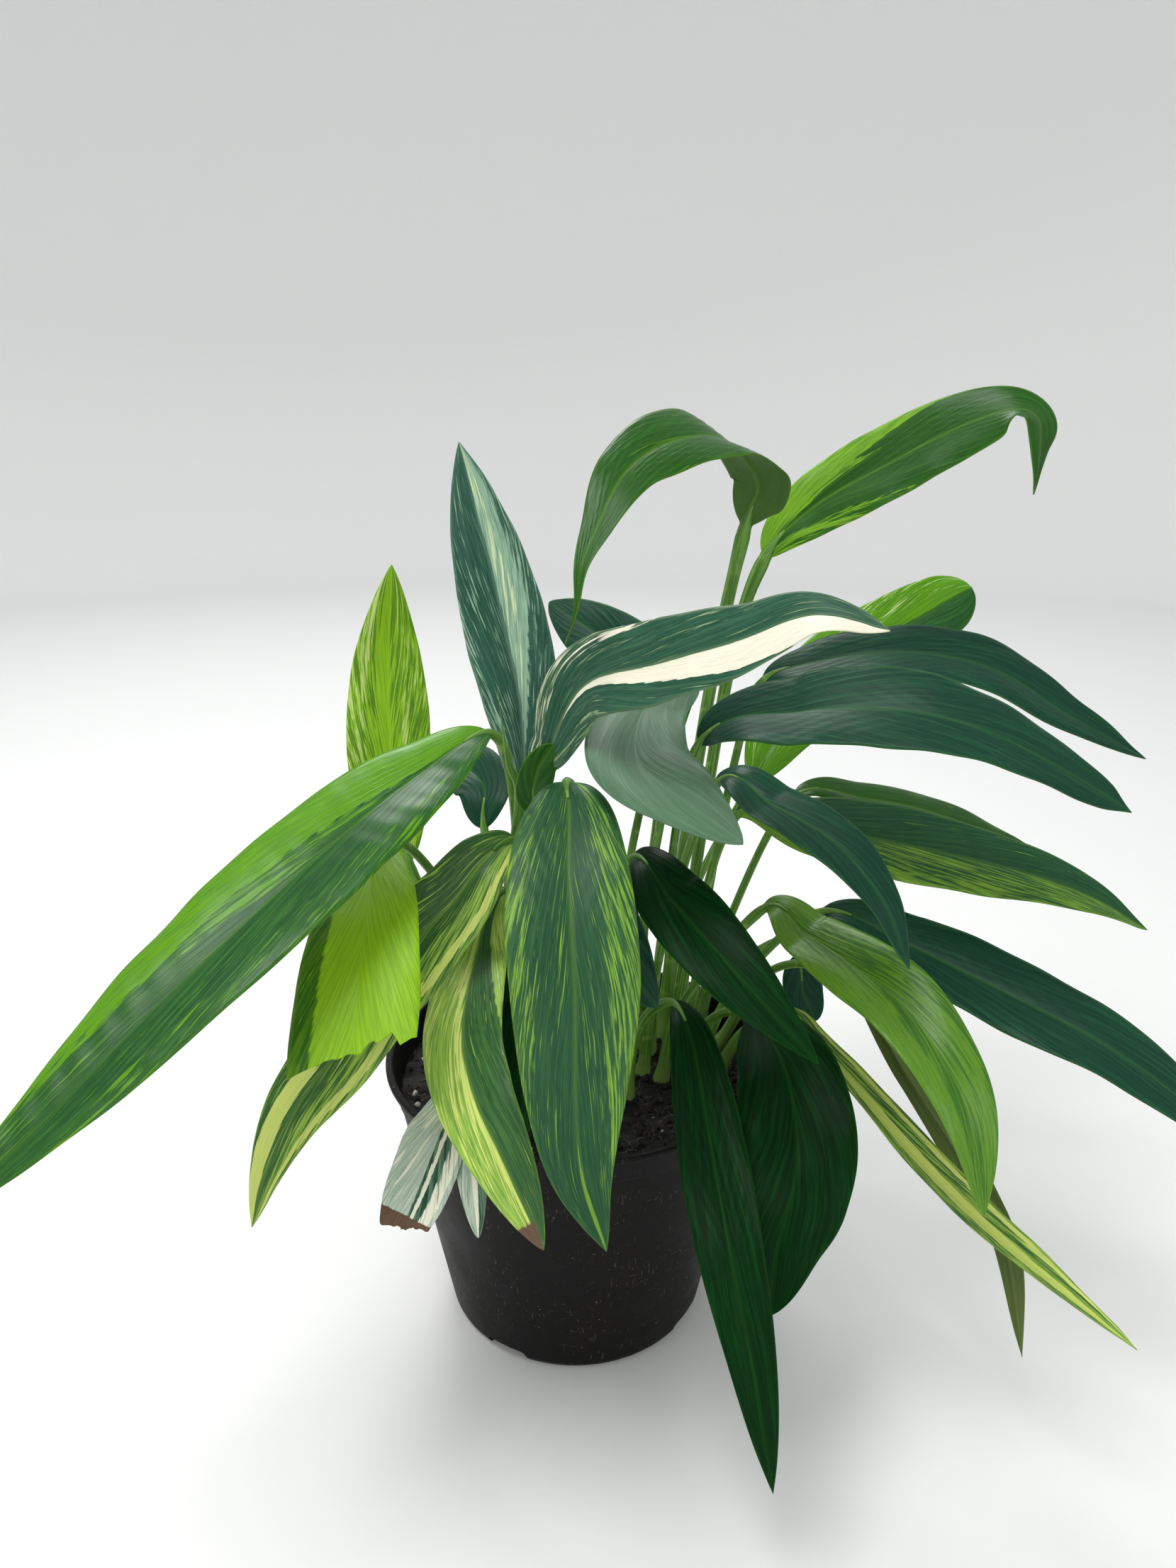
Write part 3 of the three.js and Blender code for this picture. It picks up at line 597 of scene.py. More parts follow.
        stalk=[[48, -4, 1.5], [60, -8, 30]], face=[[-0.1, -0.7, 0.7], [-0.2, -1, 0.15]],
        midrib=[[74, -25, 42], [83, -58, 39], [85, -84, 23], [81, -100, 8], [75, -108, -10],
            [72, -114, -35]]),
    row("folded_right", "yellow_streaked", 22, 0.4, 1.6, 35,
        stalk=[[64, -6, 1.5], [76, -4, 22]], face=[[0.3, -0.5, 0.8], [0.3, -0.6, 0.7]],
        midrib=[[96, -6, 33], [106, -18, 24], [124, -42, 8], [144, -65, -8], [163, -88, -19],
            [185, -108, -30], [207, -125, -42]],
        lime=[(-1, 2, -2, 2, 0.5)], cream=[(0.02, 2, -0.45, 0.25, 1.2), (-1, 2, 0.6, 0.88, 0.8)]),
    row("tail_right", "olive_underside", 18, 0.4, 1.6, 12,
        stalk=[[66, 16, 1.5], [90, 12, 44]], face=[[0.4, 0.8, 0.3], [0.4, 0.8, 0.2]],
        midrib=[[118, -10, 50], [141, -40, 20], [162, -62, -11], [173, -80, -33], [179, -95, -74]]),
    row("left_back", "mid_green", 29, 0.45, 1.2, 10, finish="dark",
        stalk=[[-26, 18, 1], [-32, 24, 60]], face=[[-0.2, -0.6, 0.7], [-0.2, -0.4, 0.9]],
        midrib=[[-41, 32, 106], [-42, 44, 123], [-57, 64, 127], [-77, 86, 116]]),
]

# A new leaf that is still rolled up, and small leaves that the part leaves out.
SPEAR = [[-28, -8, 1], [-30, -22, 80], [-22, -27, 138], [-26, -31, 158], [-29, -34, 186]]
SMALL_LEAVES = [
    row("striped_tip", "pale_torn", 13, 0.4, 1.1, 8, stout=0.7,
        stalk=[[-34, -42, 1], [-38, -50, 36], [-43, -60, 52]],
        face=[[-0.1, -0.9, 0.4], [-0.1, -1, 0.1]],
        midrib=[[-43, -75, 37], [-39, -98, 22], [-36, -110, -2]], lime=[(-1, 2, -2, 0, 0.6)],
        cream=[(-1, 2, -0.05, 0.35, 1.2)]),
    row("behind_front", "dark", 22, 0.45, 1.2, 8, stout=0.8,
        stalk=[[8, -12, 1], [8, -14, 70], [9, -20, 110]], face=[[0, -0.9, 0.4], [0.1, -1, 0.1]],
        midrib=[[11, -30, 116], [14, -45, 98], [23, -55, 78], [32, -60, 65]]),
    row("low_back", "dark", 20, 0.5, 1.1, 6, stout=0.7,
        stalk=[[44, 26, 1], [66, 36, 26], [98, 44, 44]], face=[[0, -0.9, 0.4], [0, -1, 0.1]],
        midrib=[[108, 45, 36], [111, 40, 17], [117, 36, 4]]),
    row("inner_fold", "mid_green", 15, 0.5, 0.9, 20, stout=0.7,
        stalk=[[-14, -18, 1], [-14, -28, 70], [-16, -36, 128]],
        face=[[0.2, -1, 0.1], [0.4, -1, 0.1]],
        midrib=[[-15, -38, 138], [-16, -41, 148], [-14, -43, 158], [-8, -44, 168]]),
    row("bent_back", "yellow_streaked", 13, 0.4, 1.0, 15, stout=0.7,
        stalk=[[32, 14, 1], [31, 8, 50], [33, 8, 96]], face=[[0, -0.6, 0.6], [0, -0.8, 0.6]],
        midrib=[[36, 15, 121], [34, 26, 132], [24, 34, 136], [10, 36, 130]],
        lime=[(-1, 2, -2, 2, 0.5)]),
]


def in_place(points):
    """Points of the tables in metres from the frame's origin."""
    return MM * np.array(points, float) + [0, 0, SOIL_LEVEL]


def blade_frame(leaf):
    """The blade's midrib line, its direction and the way its upper surface looks, evenly spaced
    from base to tip, and its length. The surface's direction runs straight from one `face` to
    the next, and is then turned square to the midrib."""
    points = in_place(leaf["stalk"] + leaf["midrib"])
    line, length = line_through(points, len(leaf["stalk"]), len(points) - 1)
    along = unit(np.gradient(line, axis=0))
    faces = np.array(leaf["face"], float)
    place = np.linspace(0, len(faces) - 1, len(line))
    face = read_at(place, np.arange(len(faces)), faces)
    return line, along, square_to(along, face), length


def outline(a, widest, taper):
    """Half width of a blade as a share of its most, at the share `a` of its length: a^w times
    (1-a)^(1-w), scaled to 1 at a = w, and raised to `taper`, which draws both ends out."""
    a = np.clip(a, 0, 1)
    return ((a / widest) ** widest * ((1 - a) / (1 - widest)) ** (1 - widest)) ** taper


def painted(leaf, kind, a, b):
    """The strongest of a leaf's patches of one kind at each place, and -0.5 where there is none.

    Lime and cream patches end along a vein, so their place along the midrib is that of the vein
    that runs through them. A brown end runs straight across.
    """
    field = np.full(a.shape, -0.5)
    place = a if kind == "brown" else a - vein_lead(b)
    for from_a, to_a, from_b, to_b, amount in leaf.get(kind, []):
        there = soft_box(place, from_a, to_a, 0.03) * soft_box(b, from_b, to_b, 0.05)
        field = np.maximum(field, (amount + 0.5) * there - 0.5)
    return field


def vein_lead(b):
    """How far towards the tip a vein has run at b: VEIN_LEAD times |b| to the power 0.75, so it
    leaves the midrib at a narrow angle and spreads."""
    return VEIN_LEAD * np.abs(b) ** 0.75


def blade(leaf, seed, material):
    """A leaf blade as one closed skin over a grid of `a`, base to tip, and `b`, margin to margin.

    The middle surface is midrib(a) + side * b * half(a) + normal * rise(a, b). The rise is a soft
    V of the leaf's fold, less a droop at the margins that grows with the cube of b, plus ripples
    at the margins, a quilting that follows the veins and long slow waves. The midrib is a groove
    above and a rib below. The blade thins to half its thickness at the margins.
    """
    line, along, normal, length = blade_frame(leaf)
    v = np.linspace(0, 1, BLADE_ROWS)
    u = np.linspace(-1, 1, 2 * BLADE_HALF_COLUMNS + 1)
    b = (np.sign(u) * np.abs(u) ** 1.3)[None, :] + 0 * v[:, None]
    torn = leaf["torn"]
    missing = torn[0] * (1 - b) / 2 + torn[1] * (1 + b) / 2
    ragged = 1 - missing * (1 + 0.25 * waves(9 * b, 0, seed))
    a = (v - 0.06 * np.sin(2 * np.pi * v))[:, None] * np.clip(ragged, 0, 1)

    share = np.linspace(0, 1, len(line))
    centre, forward, up = (read_at(a, share, values) for values in (line, along, normal))
    up = square_to(forward, up)
    side = np.cross(up, forward)

    most = MM * leaf["width"] / 2
    half = most * outline(a * leaf["kept"], leaf["widest"], leaf["taper"])
    half = half * (1 + 0.025 * waves(7 * a, np.sign(b), seed + 1))
    if "rounded" in leaf:
        half = half * np.sqrt(1 - np.clip((a - 1) / leaf["rounded"] + 1, 0, 1) ** 2)
    least = STALK_RADIUS * leaf["stout"]
    half = np.maximum(half, least * (1 - a) + POINT_RADIUS)
    reach = np.abs(b)
    x = b * half
    body = soft_step(0, 0.15, a) * soft_step(0, 0.06, 1 - a)
    fold = np.radians(leaf["fold"])
    rise = half * np.sin(fold) * (np.sqrt(reach**2 + 0.004) - 0.063) - 0.10 * half * reach**3
    ripple = MARGIN_RIPPLE * reach**3 * waves(a * length / (9 * MM), 2 * np.sign(b), seed + 2, 2)
    slow = SLOW_WAVE * waves(a * length / (24 * MM), 2 * b, seed + 3, 2)
    lead = vein_lead(b)
    quilt = np.sin(2 * np.pi * (a - lead) * length / (11 * MM)) * 4 * reach * (1 - reach)
    rise = rise + body * (ripple + slow + QUILTING * quilt)
    thick = BLADE_THICKNESS * (1 - 0.5 * reach**2)
    groove = 0.45 * MM * np.exp(-((x / (0.8 * MM)) ** 2)) * (1 - a)
    rib = (1.5 * MM * (1 - a) ** 1.2 + 0.2 * MM) * np.exp(-((x / (1.1 * MM)) ** 2))
    spread = centre + side * (x * np.cos(fold))[..., None]
    top = spread + up * (rise + thick / 2 - groove)[..., None]
    bottom = spread + up * (rise - thick / 2 - rib * soft_step(-0.02, 0.02, 1 - a))[..., None]

    rows, columns = a.shape
    skin = np.concatenate([top, bottom[:, ::-1]], axis=1)
    faces = grid_faces(rows, 2 * columns)
    near = np.arange(columns - 1)
    cap = np.stack([near, near + 1, 2 * columns - 2 - near, 2 * columns - 1 - near], -1)
    tip = cap[:, ::-1] + (rows - 1) * 2 * columns
    piece = new_piece(leaf["name"] + "_leaf", skin, [np.vstack([faces, cap, tip])], material)

    # Veins leave the midrib at a small angle, so the distance between them is foreshortened.
    slope = most / np.hypot(most, VEIN_LEAD * length)
    across = (a - lead) * length * slope
    beside = b * most / slope
    vein = np.stack([across, beside, 0 * a + 0.1 * seed], -1)
    rib_line = np.exp(-((x / (0.7 * MM)) ** 2)) * (1 - 0.6 * a)
    edge_line = 0.8 * np.exp(-(((1 - reach) * half / (0.35 * MM)) ** 2))
    fields = {"vein": vein, "pale": np.maximum(rib_line, edge_line)}
    for kind in ("lime", "cream", "brown"):
        fields[kind] = painted(leaf, kind, a, b)
    for key, field in fields.items():
        add_attribute(piece, key, np.concatenate([field, field[:, ::-1]], axis=1))
    add_attribute(piece, "under", np.concatenate([0 * a, 0 * a + 1], axis=1))
    return piece


def tube(name, line, up, radius, groove, seed, material):
    """A closed stalk along `line`: rings of radius r(t) square to the line, with a shallow
    channel of depth groove * r on the side that `up` looks to."""
    rows = len(line)
    along = unit(np.gradient(line, axis=0))
    up = square_to(along, up)
    side = np.cross(up, along)
    turn = np.linspace(0, 2 * np.pi, STALK_SIDES, endpoint=False)[None, :, None]
    from_top = np.angle(np.exp(1j * (turn - np.pi / 2)))
    reach = radius[:, None, None] * (1 - groove * np.exp(-((from_top / 0.55) ** 2)))
    skin = line[:, None] + reach * (np.cos(turn) * side[:, None] + np.sin(turn) * up[:, None])
    run = np.linspace(0, 1, rows) * np.linalg.norm(np.diff(line, axis=0), axis=1).sum()
    points = np.vstack([skin.reshape(-1, 3), line[:1], line[-1:]])
    piece = new_piece(name, points, closed_tube(rows, STALK_SIDES), material)
    around = np.append(np.tile(turn.ravel() * STALK_RADIUS, rows), [0, 0])
    length = np.append(np.repeat(run, STALK_SIDES), [run[0], run[-1]])
    add_attribute(piece, "vein", np.stack([around, length, 0 * around + 0.1 * seed], -1))
    add_attribute(piece, "foot", 1 - soft_step(4 * MM, 24 * MM, length))
    return piece


def stalk(leaf, seed, material):
    """A leaf's stalk. Its radius is 2.2 times the stalk's at the soil, where it sheathes the
    next one, 1 in the middle, 1.15 at the joint below the blade, and it fades to a third inside
    the blade's rib."""
    points = in_place(leaf["stalk"] + leaf["midrib"])
    whole, length = line_through(points, 0, len(points) - 1, 1200)
    _, stalk_length = line_through(points, 0, len(leaf["stalk"]))
    start = points[0] - [0, 0, STALK_ROOTED]
    steps = np.linspace(0, stalk_length + STALK_IN_RIB, STALK_ROWS)
    share = np.linspace(0, length, len(whole))
    line = np.vstack([start, read_at(steps, share, whole)])
    run = np.append(0, steps + STALK_ROOTED)
    thick = leaf["stout"] * STALK_RADIUS
    radius = thick * (1 + 0.6 * (1 - soft_step(0, 45 * MM, run)))
    radius = radius + 0.6 * thick * (1 - soft_step(3 * MM, 16 * MM, run))
    joint = np.exp(-(((run - stalk_length) / (9 * MM)) ** 2))
    radius = radius * (1 + 0.15 * joint)
    radius = radius * (1 - 0.67 * soft_step(stalk_length, stalk_length + 19 * MM, run))
    face = np.broadcast_to(np.array(leaf["face"][0], float), line.shape)
    face = face + 0.02 * np.array([0.3, -1, 0.1])
    return tube(leaf["name"] + "_leafstalk", line, face, radius, 0.16, seed, material)


def rolled_leaf(name, points, material, seed):
    """A new leaf still rolled up: a spindle on its stalk, whose radius r(t) swells to 1.5 times
    the stalk's above the middle and narrows to a point, with the free margin as a channel."""
    line, _ = line_through(in_place(points), 0, len(points) - 1, 90)
    t = np.linspace(0, 1, len(line))
    swell = 1 + 0.5 * soft_box(t, 0.62, 0.80, 0.12)
    radius = SPEAR_RADIUS * swell * (1 - soft_step(0.72, 1.02, t))
    radius = np.maximum(radius, POINT_RADIUS)
    side = np.stack([np.cos(1.2 + 5 * t), np.sin(1.2 + 5 * t), 0 * t], -1)
    return tube(name, line, side, radius, 0.35, seed, material)


# ==== Pot and soil ===========================================================================
def turned(name, profile, material, uneven=None):
    """A solid of revolution about Z from [radius, height] points that begin and end on the axis.

    `uneven` maps x, y and height to new heights, for a surface that isn't truly round.
    """
    profile = np.array(profile, float)
    turn = np.linspace(0, 2 * np.pi, POT_SIDES, endpoint=False)
    rings = profile[1:-1]
    x = rings[:, 0, None] * np.cos(turn)
    y = rings[:, 0, None] * np.sin(turn)
    z = rings[:, 1, None] + 0 * turn
    ends = [[0, 0, profile[0, 1]], [0, 0, profile[-1, 1]]]
    points = np.vstack([np.stack([x, y, z], -1).reshape(-1, 3), ends])
    if uneven:
        points[:, 2] = uneven(points[:, 0], points[:, 1], points[:, 2])
    return new_piece(name, points, closed_tube(len(rings), POT_SIDES), material)


def rounded(profile, radius, steps=5):
    """The profile with each corner replaced by a short curve that starts `radius` before it, or
    a third of the shorter side where that is less."""
    profile = np.array(profile, float)
    out = [profile[:1]]
    for before, corner, after in zip(profile, profile[1:], profile[2:]):
        back, on = before - corner, after - corner
        cut = min(radius, 0.34 * np.linalg.norm(back), 0.34 * np.linalg.norm(on))
        start, end = corner + unit(back) * cut, corner + unit(on) * cut
        t = np.linspace(0, 1, steps)[:, None]
        out.append((1 - t) ** 2 * start + 2 * t * (1 - t) * corner + t**2 * end)
    return np.vstack(out + [profile[-1:]])


def wall_radius(z):
    """Outer radius of the pot's straight tapering wall."""
    return FOOT_RADIUS + (RIM_RADIUS - LIP_WIDTH - FOOT_RADIUS) * z / POT_HEIGHT


def make_pot(material):
    """The pot: one closed skin with a foot ring, a raised channel, a band and a rolled lip."""
    band = POT_HEIGHT - BAND_HEIGHT
    lip = POT_HEIGHT - LIP_HEIGHT
    ring = wall_radius(0) - FOOT_ROUND
    floor = CHANNEL_HEIGHT + POT_WALL
    above = DRAIN_HEIGHT + 2 * MM
    profile = [
        [0, 0],
        [PAD_RADIUS, 0],
        [PAD_RADIUS, CHANNEL_HEIGHT],
        [ring - FOOT_RING, CHANNEL_HEIGHT],
        [ring - FOOT_RING, 0],
        [wall_radius(0) - FOOT_ROUND / 2, 0],
        [wall_radius(FOOT_ROUND), FOOT_ROUND],
        [wall_radius(above), above],
        [wall_radius(2 * above), 2 * above],
        [wall_radius(band) - BAND_STEP, band],
        [wall_radius(band), band + BAND_STEP],
        [wall_radius(lip), lip],
        [RIM_RADIUS, lip],
        [RIM_RADIUS, POT_HEIGHT],
        [wall_radius(POT_HEIGHT) - POT_WALL, POT_HEIGHT],
        [wall_radius(band) - POT_WALL, band],
        [wall_radius(band) - POT_WALL - BAND_STEP, band - BAND_STEP],
        [wall_radius(floor) - POT_WALL, floor],
        [PAD_RADIUS - POT_WALL, floor],
        [PAD_RADIUS - POT_WALL, POT_WALL],
        [0, POT_WALL],
    ]
    pot = turned("nursery_pot", rounded(profile, CORNER_RADIUS), material)
    angles = np.radians(FIRST_DRAIN + 360 * np.arange(DRAIN_COUNT) / DRAIN_COUNT)
    for i, angle in enumerate(angles):
        cut = pot.modifiers.new(f"drain_{i}", "BOOLEAN")
        cut.operation = "DIFFERENCE"
        cut.solver = "EXACT"
        cut.object = drain_cutter(ring, angle)
    bpy.context.view_layer.update()
    evaluated = pot.evaluated_get(bpy.context.evaluated_depsgraph_get())
    finished_mesh = bpy.data.meshes.new_from_object(evaluated)
    for cut in list(pot.modifiers):
        cutter = cut.object
        pot.modifiers.remove(cut)
        bpy.data.objects.remove(cutter)
    pot.data = finished_mesh
    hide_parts("pot")


def drain_cutter(radius, angle):
    """A rounded block laid through the foot at an angle: a superellipse of power 6 in the width
    and height, carried straight outwards."""
    turn = np.linspace(0, 2 * np.pi, 24, endpoint=False)
    across = DRAIN_WIDTH / 2 * np.sign(np.cos(turn)) * np.abs(np.cos(turn)) ** (1 / 3)
    height = DRAIN_HEIGHT * np.sign(np.sin(turn)) * np.abs(np.sin(turn)) ** (1 / 3)
    depth = np.array([-1, 1]) * (FOOT_RING + FOOT_ROUND) + radius
    x = depth[:, None] * np.cos(angle) - across * np.sin(angle)
    y = depth[:, None] * np.sin(angle) + across * np.cos(angle)
    z = height + 0 * x
    skin = np.stack([x, y, z], -1).reshape(-1, 3)
    ends = [[r * np.cos(angle), r * np.sin(angle), 0] for r in depth]
    mesh = bpy.data.meshes.new("drain")
    faces = [face.tolist() for group in closed_tube(2, len(turn)) for face in group]
    mesh.from_pydata(np.vstack([skin, ends]).tolist(), [], faces)
    mesh.flip_normals()
    cutter = bpy.data.objects.new("drain", mesh)
    bpy.context.collection.objects.link(cutter)
    return cutter


def soil_top(x, y):
    """How far the soil stands above or below its level: lumps of 30, 9 and 3 mm, sunk at the
    wall, and heaped 3 mm high round the foot of every stalk."""
    r = np.hypot(x, y) / SOIL_RADIUS
    uneven = -0.8 - 1.2 * soft_step(0.8, 1.0, r)
    for size, high, seed, octaves in ((9, 1.4, 41, 2), (3, 0.9, 42, 3), (1, 0.45, 43, 3)):
        uneven = uneven + high * waves(x / (size * MM), y / (size * MM), seed, octaves)
    heap = 0 * r
    for leaf in LEAVES:
        away = np.hypot(x - leaf["stalk"][0][0] * MM, y - leaf["stalk"][0][1] * MM)
        heap = np.maximum(heap, 3 * np.exp(-((away / (7 * MM)) ** 2)))
    return MM * (uneven + heap)


def make_soil(material):
    """The peat: a closed round body on rings 0.6 mm apart at the top, whose top is lumpy."""

    def uneven(x, y, z):
        return np.where(z > SOIL_LEVEL - 1 * MM, z + soil_top(x, y), z)

    top = np.linspace(SOIL_RADIUS, 0, SOIL_RINGS)
    floor = CHANNEL_HEIGHT + POT_WALL + CLEARANCE
    inside = POT_WALL + CLEARANCE
    shoulder = SOIL_LEVEL - 4 * MM
    profile = np.vstack([
        [[0, SOIL_LOW[2]], [PAD_RADIUS - inside, SOIL_LOW[2]], [PAD_RADIUS - inside, floor]],
        [[wall_radius(floor) - inside - FOOT_ROUND, floor]],
        [[wall_radius(floor + FOOT_ROUND) - inside, floor + FOOT_ROUND]],
        [[wall_radius(shoulder) - inside - BAND_STEP, shoulder]],
        np.stack([top, 0 * top + SOIL_LEVEL], -1),
    ])
    soil = turned("peat", profile, material, uneven)
    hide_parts("soil")


def lumps(name, places, sizes, flat, seed, material):
    """Small lumps as one mesh: at each place a ball of 5 by 7 points, pushed in and out by up to
    a quarter, flattened to `flat` of its height, stretched and turned at random."""
    draw = np.random.default_rng(seed)
    rise = np.linspace(0, np.pi, 7)[1:-1]
    turn = np.linspace(0, 2 * np.pi, 7, endpoint=False)
    reach = np.sin(rise)[:, None]
    ring = np.stack([reach * np.cos(turn), reach * np.sin(turn)], -1)
    height = 0 * ring[..., :1] + np.cos(rise)[:, None, None]
    ball = np.concatenate([ring, height], -1).reshape(-1, 3)
    ball = np.vstack([ball, [0, 0, 1], [0, 0, -1]])
    count = len(places)
    stretch = draw.uniform(0.6, 1.3, (count, 1, 3)) * [1, 0.8, flat]
    points = ball * draw.uniform(0.75, 1.25, (count, len(ball), 1)) * stretch
    spin, tilt = draw.uniform(0, 2 * np.pi, count), draw.normal(0, 0.35, count)
    x = points[..., 0] * np.cos(tilt)[:, None] + points[..., 2] * np.sin(tilt)[:, None]
    z = points[..., 2] * np.cos(tilt)[:, None] - points[..., 0] * np.sin(tilt)[:, None]
    y = points[..., 1]
    turned_x = x * np.cos(spin)[:, None] - y * np.sin(spin)[:, None]
    turned_y = x * np.sin(spin)[:, None] + y * np.cos(spin)[:, None]
    points = np.stack([turned_x, turned_y, z], -1) * sizes[:, None, None] / 2 + places[:, None]
    step = np.arange(count)[:, None, None] * len(ball)
    faces = [(group + step).reshape(-1, group.shape[1]) for group in closed_tube(5, 7)]
    return new_piece(name, points, faces, material)


def strands(name, places, lengths, seed, material):
    """Fine root and coir fibres as one mesh: at each place a three-sided strand of 7 rings on a
    flat random arc that lifts in its middle."""
    draw = np.random.default_rng(seed)
    count = len(places)
    t = np.linspace(-0.5, 0.5, 7)
    heading, bend = draw.uniform(0, 2 * np.pi, count), draw.normal(0, 1.6, count)
    angle = heading[:, None] + bend[:, None] * t
    step = lengths[:, None] / 6
    x = np.cumsum(np.cos(angle) * step, axis=1)
    y = np.cumsum(np.sin(angle) * step, axis=1)
    z = draw.uniform(0.2, 1.4, count)[:, None] * MM * (1 - 4 * t**2)
    line = np.stack([x - x.mean(1)[:, None], y - y.mean(1)[:, None], z], -1) + places[:, None]
    side = np.stack([-np.sin(angle), np.cos(angle), 0 * angle], -1)
    turn = np.arange(3) * 2 * np.pi / 3
    around = np.cos(turn)[:, None] * side[:, :, None] + np.sin(turn)[:, None] * [0, 0, 1]
    skin = (line[:, :, None] + FIBRE_RADIUS * around).reshape(count, -1, 3)
    points = np.concatenate([skin, line[:, :1], line[:, -1:]], axis=1)
    shift = np.arange(count)[:, None, None] * points.shape[1]
    faces = [(group + shift).reshape(-1, group.shape[1]) for group in closed_tube(7, 3)]
    return new_piece(name, points, faces, material)


def on_soil(count, seed, seen=()):
    """Random places spread evenly over the soil's top, after the ones in `seen`, in millimetres."""
    draw = np.random.default_rng(seed)
    r = SOIL_RADIUS * 0.97 * np.sqrt(draw.uniform(0, 1, count))
    turn = draw.uniform(0, 2 * np.pi, count)
    x, y = r * np.cos(turn), r * np.sin(turn)
    for i, (seen_x, seen_y) in enumerate(seen):
        x[i], y[i] = seen_x * MM, seen_y * MM
    return np.stack([x, y, SOIL_LEVEL + soil_top(x, y)], -1), draw


# ==== The model ==============================================================================
LOOKS = {look: leaf_material(*values) for look, *values in (
    ("dark", "waxed_leaf_blue_green", "#133b2c #215138 #4d8a3a #c9d9a0", 0.34, 1.0, 0.16),
    # deep_shade is the leaf colour darkened for leaves that lie in the plant's shade: painted shade.
    ("deep_shade", "waxed_leaf_painted_shade", "#06260c #0c4017 #2a6420 #c9d9a0", 0.34, 1.0, 0.06),
    ("mid_green", "waxed_leaf_mid_green", "#1c4e10 #2d6418 #7cb02a #dfe6b0", 0.29, 1.0, 0.24),
    ("leaf_green", "waxed_leaf_fresh_green", "#2a5a1c #427623 #639026 #c5d860", 0.27, 1.4, 0.32),
    ("lime_streaked", "waxed_leaf_lime_streaks", "#17491f #377024 #609a06 #b8cf86", 0.28, 1.0, 0.26),
    ("soft_streaks", "waxed_leaf_soft_streaks", "#1c4730 #326236 #7fab3a #c5d860", 0.36, 2.2, 0.18),
    ("light_green", "waxed_leaf_lime", "#2e6014 #62921c #92c41c #bcd07a", 0.40),
    ("cream_banded", "waxed_leaf_cream_band", "#234e3a #3c6850 #a4bb8a #f0ead6", 0.36, 1.5, 0.16),
    ("silver_striped", "waxed_leaf_silver_stripe", "#204a3a #3a6654 #9abca0 #cfdcaa", 0.38, 1.6),
    # A green leaf whose grey is the wax's sheen, painted into its colours: painted sheen.
    ("grey_green", "waxed_leaf_painted_sheen", "#4c6c50 #5f8265 #6f9576 #c9d9a0", 0.42, 1.0, 0.16),
    ("yellow_streaked", "waxed_leaf_yellow_streaks", "#28522e #4c7a3c #a4c852 #d2de78", 0.36, 2.0),
    ("pale_torn", "waxed_leaf_silver_torn", "#1f4a36 #7a9a7e #cad6c6 #f4f2dc", 0.40, 1.3),
    ("olive_underside", "leaf_back_olive", "#3f4a1e #5e6a32 #7f8a48 #a89a70", 0.55),
)}
stalk_green = stalk_material()


def dress(leaf, seed):
    """Makes a leaf's blade, in its look's material, and its stalk."""
    leaf_piece = blade(leaf, seed, LOOKS[leaf.get("finish", leaf["look"])])
    stalk_piece = stalk(leaf, seed, stalk_green)
    return leaf_piece, stalk_piece


for seed, leaf in enumerate(LEAVES):
    leaf_piece, stalk_piece = dress(leaf, seed)
    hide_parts(leaf["name"] + "_blade")
    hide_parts(leaf["name"] + "_stalk")

spear = rolled_leaf("rolled_new_leaf", SPEAR, stalk_green, 61)
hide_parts("new_leaf_spear")

for seed, leaf in enumerate(SMALL_LEAVES, 70):
    dress(leaf, seed)

make_pot(pot_material())
damp_peat = crumb_material("damp_peat", "#050404", "#17110d", 1.1 * MM, 0.55)
make_soil(damp_peat)
bark = crumb_material("composted_bark", "#120d0a", "#54402e", 0.8 * MM)
stone = crumb_material("expanded_perlite", "#b9b4a8", "#e8e6df", 0.5 * MM, 0.9)
coir = crumb_material("coir_fibre", "#3a342c", "#a89e8c", 0.6 * MM)

# Crumbs lie everywhere, and the first ones in a ring 4.4 mm out round the foot of each stalk.
# The first chips and grains lie where they show in front of the plant.
feet = np.array([leaf["stalk"][0][:2] for leaf in LEAVES + SMALL_LEAVES], float)
turn = np.linspace(0, 2 * np.pi, 9, endpoint=False)
ring = (feet[:, None] + 4.4 * np.stack([np.cos(turn), np.sin(turn)], -1)).reshape(-1, 2)
bark_seen = [(-67, -19), (-64, -28), (-62, -36), (-70, -12)]
stone_seen = [(-17, -47), (-69, -24), (-71, -16), (-58, -42)]
for name, count, seed, seen, size, power, flat, lift, material in (
    ("peat_crumbs", 1700, 57, ring, CRUMB_SIZE, 2, 0.8, 0, damp_peat),
    ("bark_chips", 240, 51, bark_seen, CHIP_SIZE, 1.5, 0.45, 0, bark),
    ("perlite", 60, 53, stone_seen, PERLITE_SIZE, 1.5, 0.9, 0.7 * MM, stone),
):
    places, draw = on_soil(count, seed, seen)
    sizes = draw.uniform(0.3, 1.0, count) ** power * size
    sizes[:len(seen)] = size * (draw.uniform(0.7, 1.2, len(ring)) if seen is ring else 1)
    piece = lumps(name, places + [0, 0, lift], sizes, flat, seed + 1, material)
places, draw = on_soil(900, 55)
lengths = draw.uniform(0.1, 1.0, 900) ** 2 * FIBRE_LENGTH
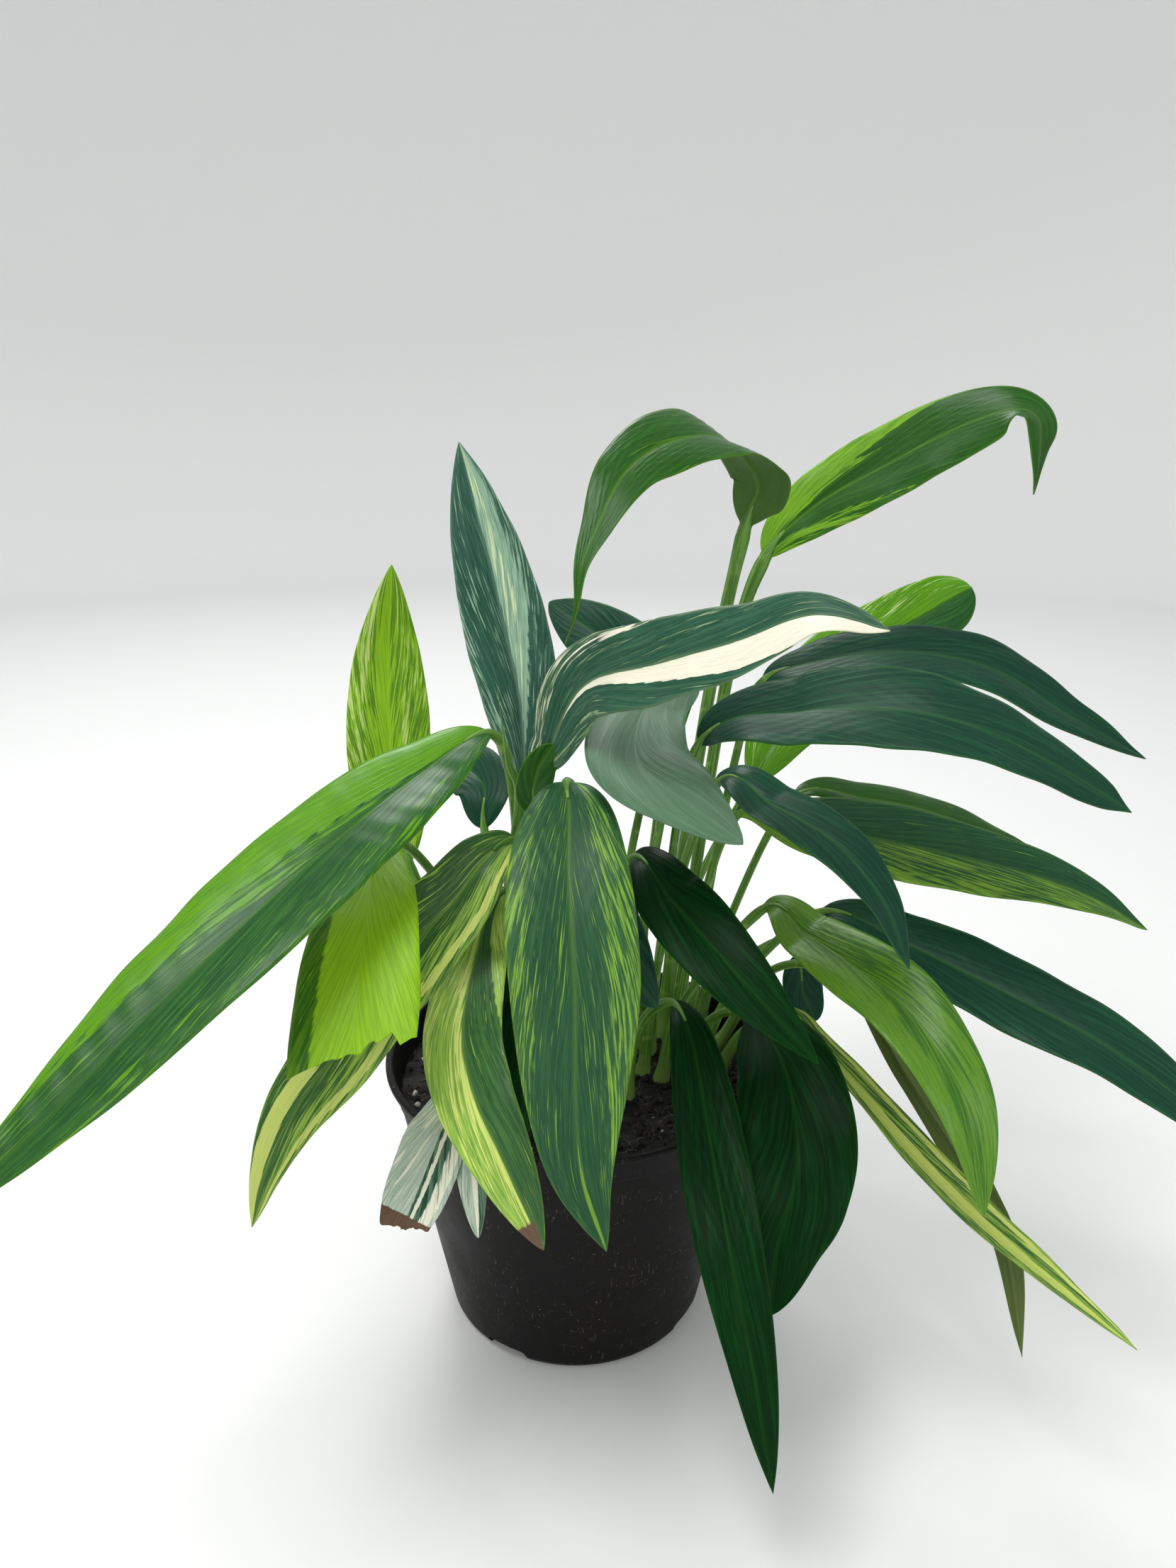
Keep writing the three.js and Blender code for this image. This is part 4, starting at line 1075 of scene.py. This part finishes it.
fibres = strands("coir_fibres", places, lengths, 56, coir)

# ==== Floor, light and camera ================================================================
# A pale sweep: flat to 2.2 m, then a quarter ellipse up to a wall 2.6 m high and 3.1 m out.
turn = np.linspace(0, 2 * np.pi, SWEEP_SIDES, endpoint=False)
bend = np.linspace(0, np.pi / 2, 24)
radius = np.concatenate([[0.001, 1.0], 2.2 + 0.9 * np.sin(bend)])[:, None]
height = np.concatenate([[0, 0], 2.6 * (1 - np.cos(bend))])[:, None]
sweep = np.stack([radius * np.cos(turn), radius * np.sin(turn), height + 0 * turn], -1)
faces = grid_faces(len(radius), SWEEP_SIDES)[:, ::-1]
mesh = bpy.data.meshes.new("pale_floor")
mesh.from_pydata(sweep.reshape(-1, 3).tolist(), [], faces.tolist())
mesh.shade_smooth()
mesh.materials.append(floor_material())
pale_floor = bpy.data.objects.new("pale_floor", mesh)
bpy.context.collection.objects.link(pale_floor)

world = bpy.data.worlds.new("soft_sky")
world.use_nodes = True
sky = world.node_tree.nodes["Background"]
sky.inputs["Color"].default_value = colour("#f3f6fa")
sky.inputs["Strength"].default_value = 0.55
bpy.context.scene.world = world

for name, place, size, power in (
    ("key_panel", (-0.5, -0.45, 1.8), 0.9, 17),
    ("back_panel", (-0.3, 1.3, 1.75), 0.8, 13),
    ("front_panel", (0.4, -1.9, 1.1), 1.2, 6),
):
    lamp = bpy.data.lights.new(name, "AREA")
    lamp.shape = "DISK"
    lamp.size = size
    lamp.energy = power
    panel = bpy.data.objects.new(name, lamp)
    panel.location = place
    aim = Vector((0, 0, 0.2)) - panel.location
    panel.rotation_euler = aim.to_track_quat("-Z", "Y").to_euler()
    bpy.context.collection.objects.link(panel)

bpy.context.scene.view_settings.view_transform = "Standard"

lens = bpy.data.cameras.new("camera")
lens.lens = 27.05
lens.sensor_width = 36
camera = bpy.data.objects.new("camera", lens)
camera.location = (0, -0.470, 0.407)
camera.rotation_euler = np.radians((90 - 18.3, 0, -0.7))
bpy.context.collection.objects.link(camera)
bpy.context.scene.camera = camera
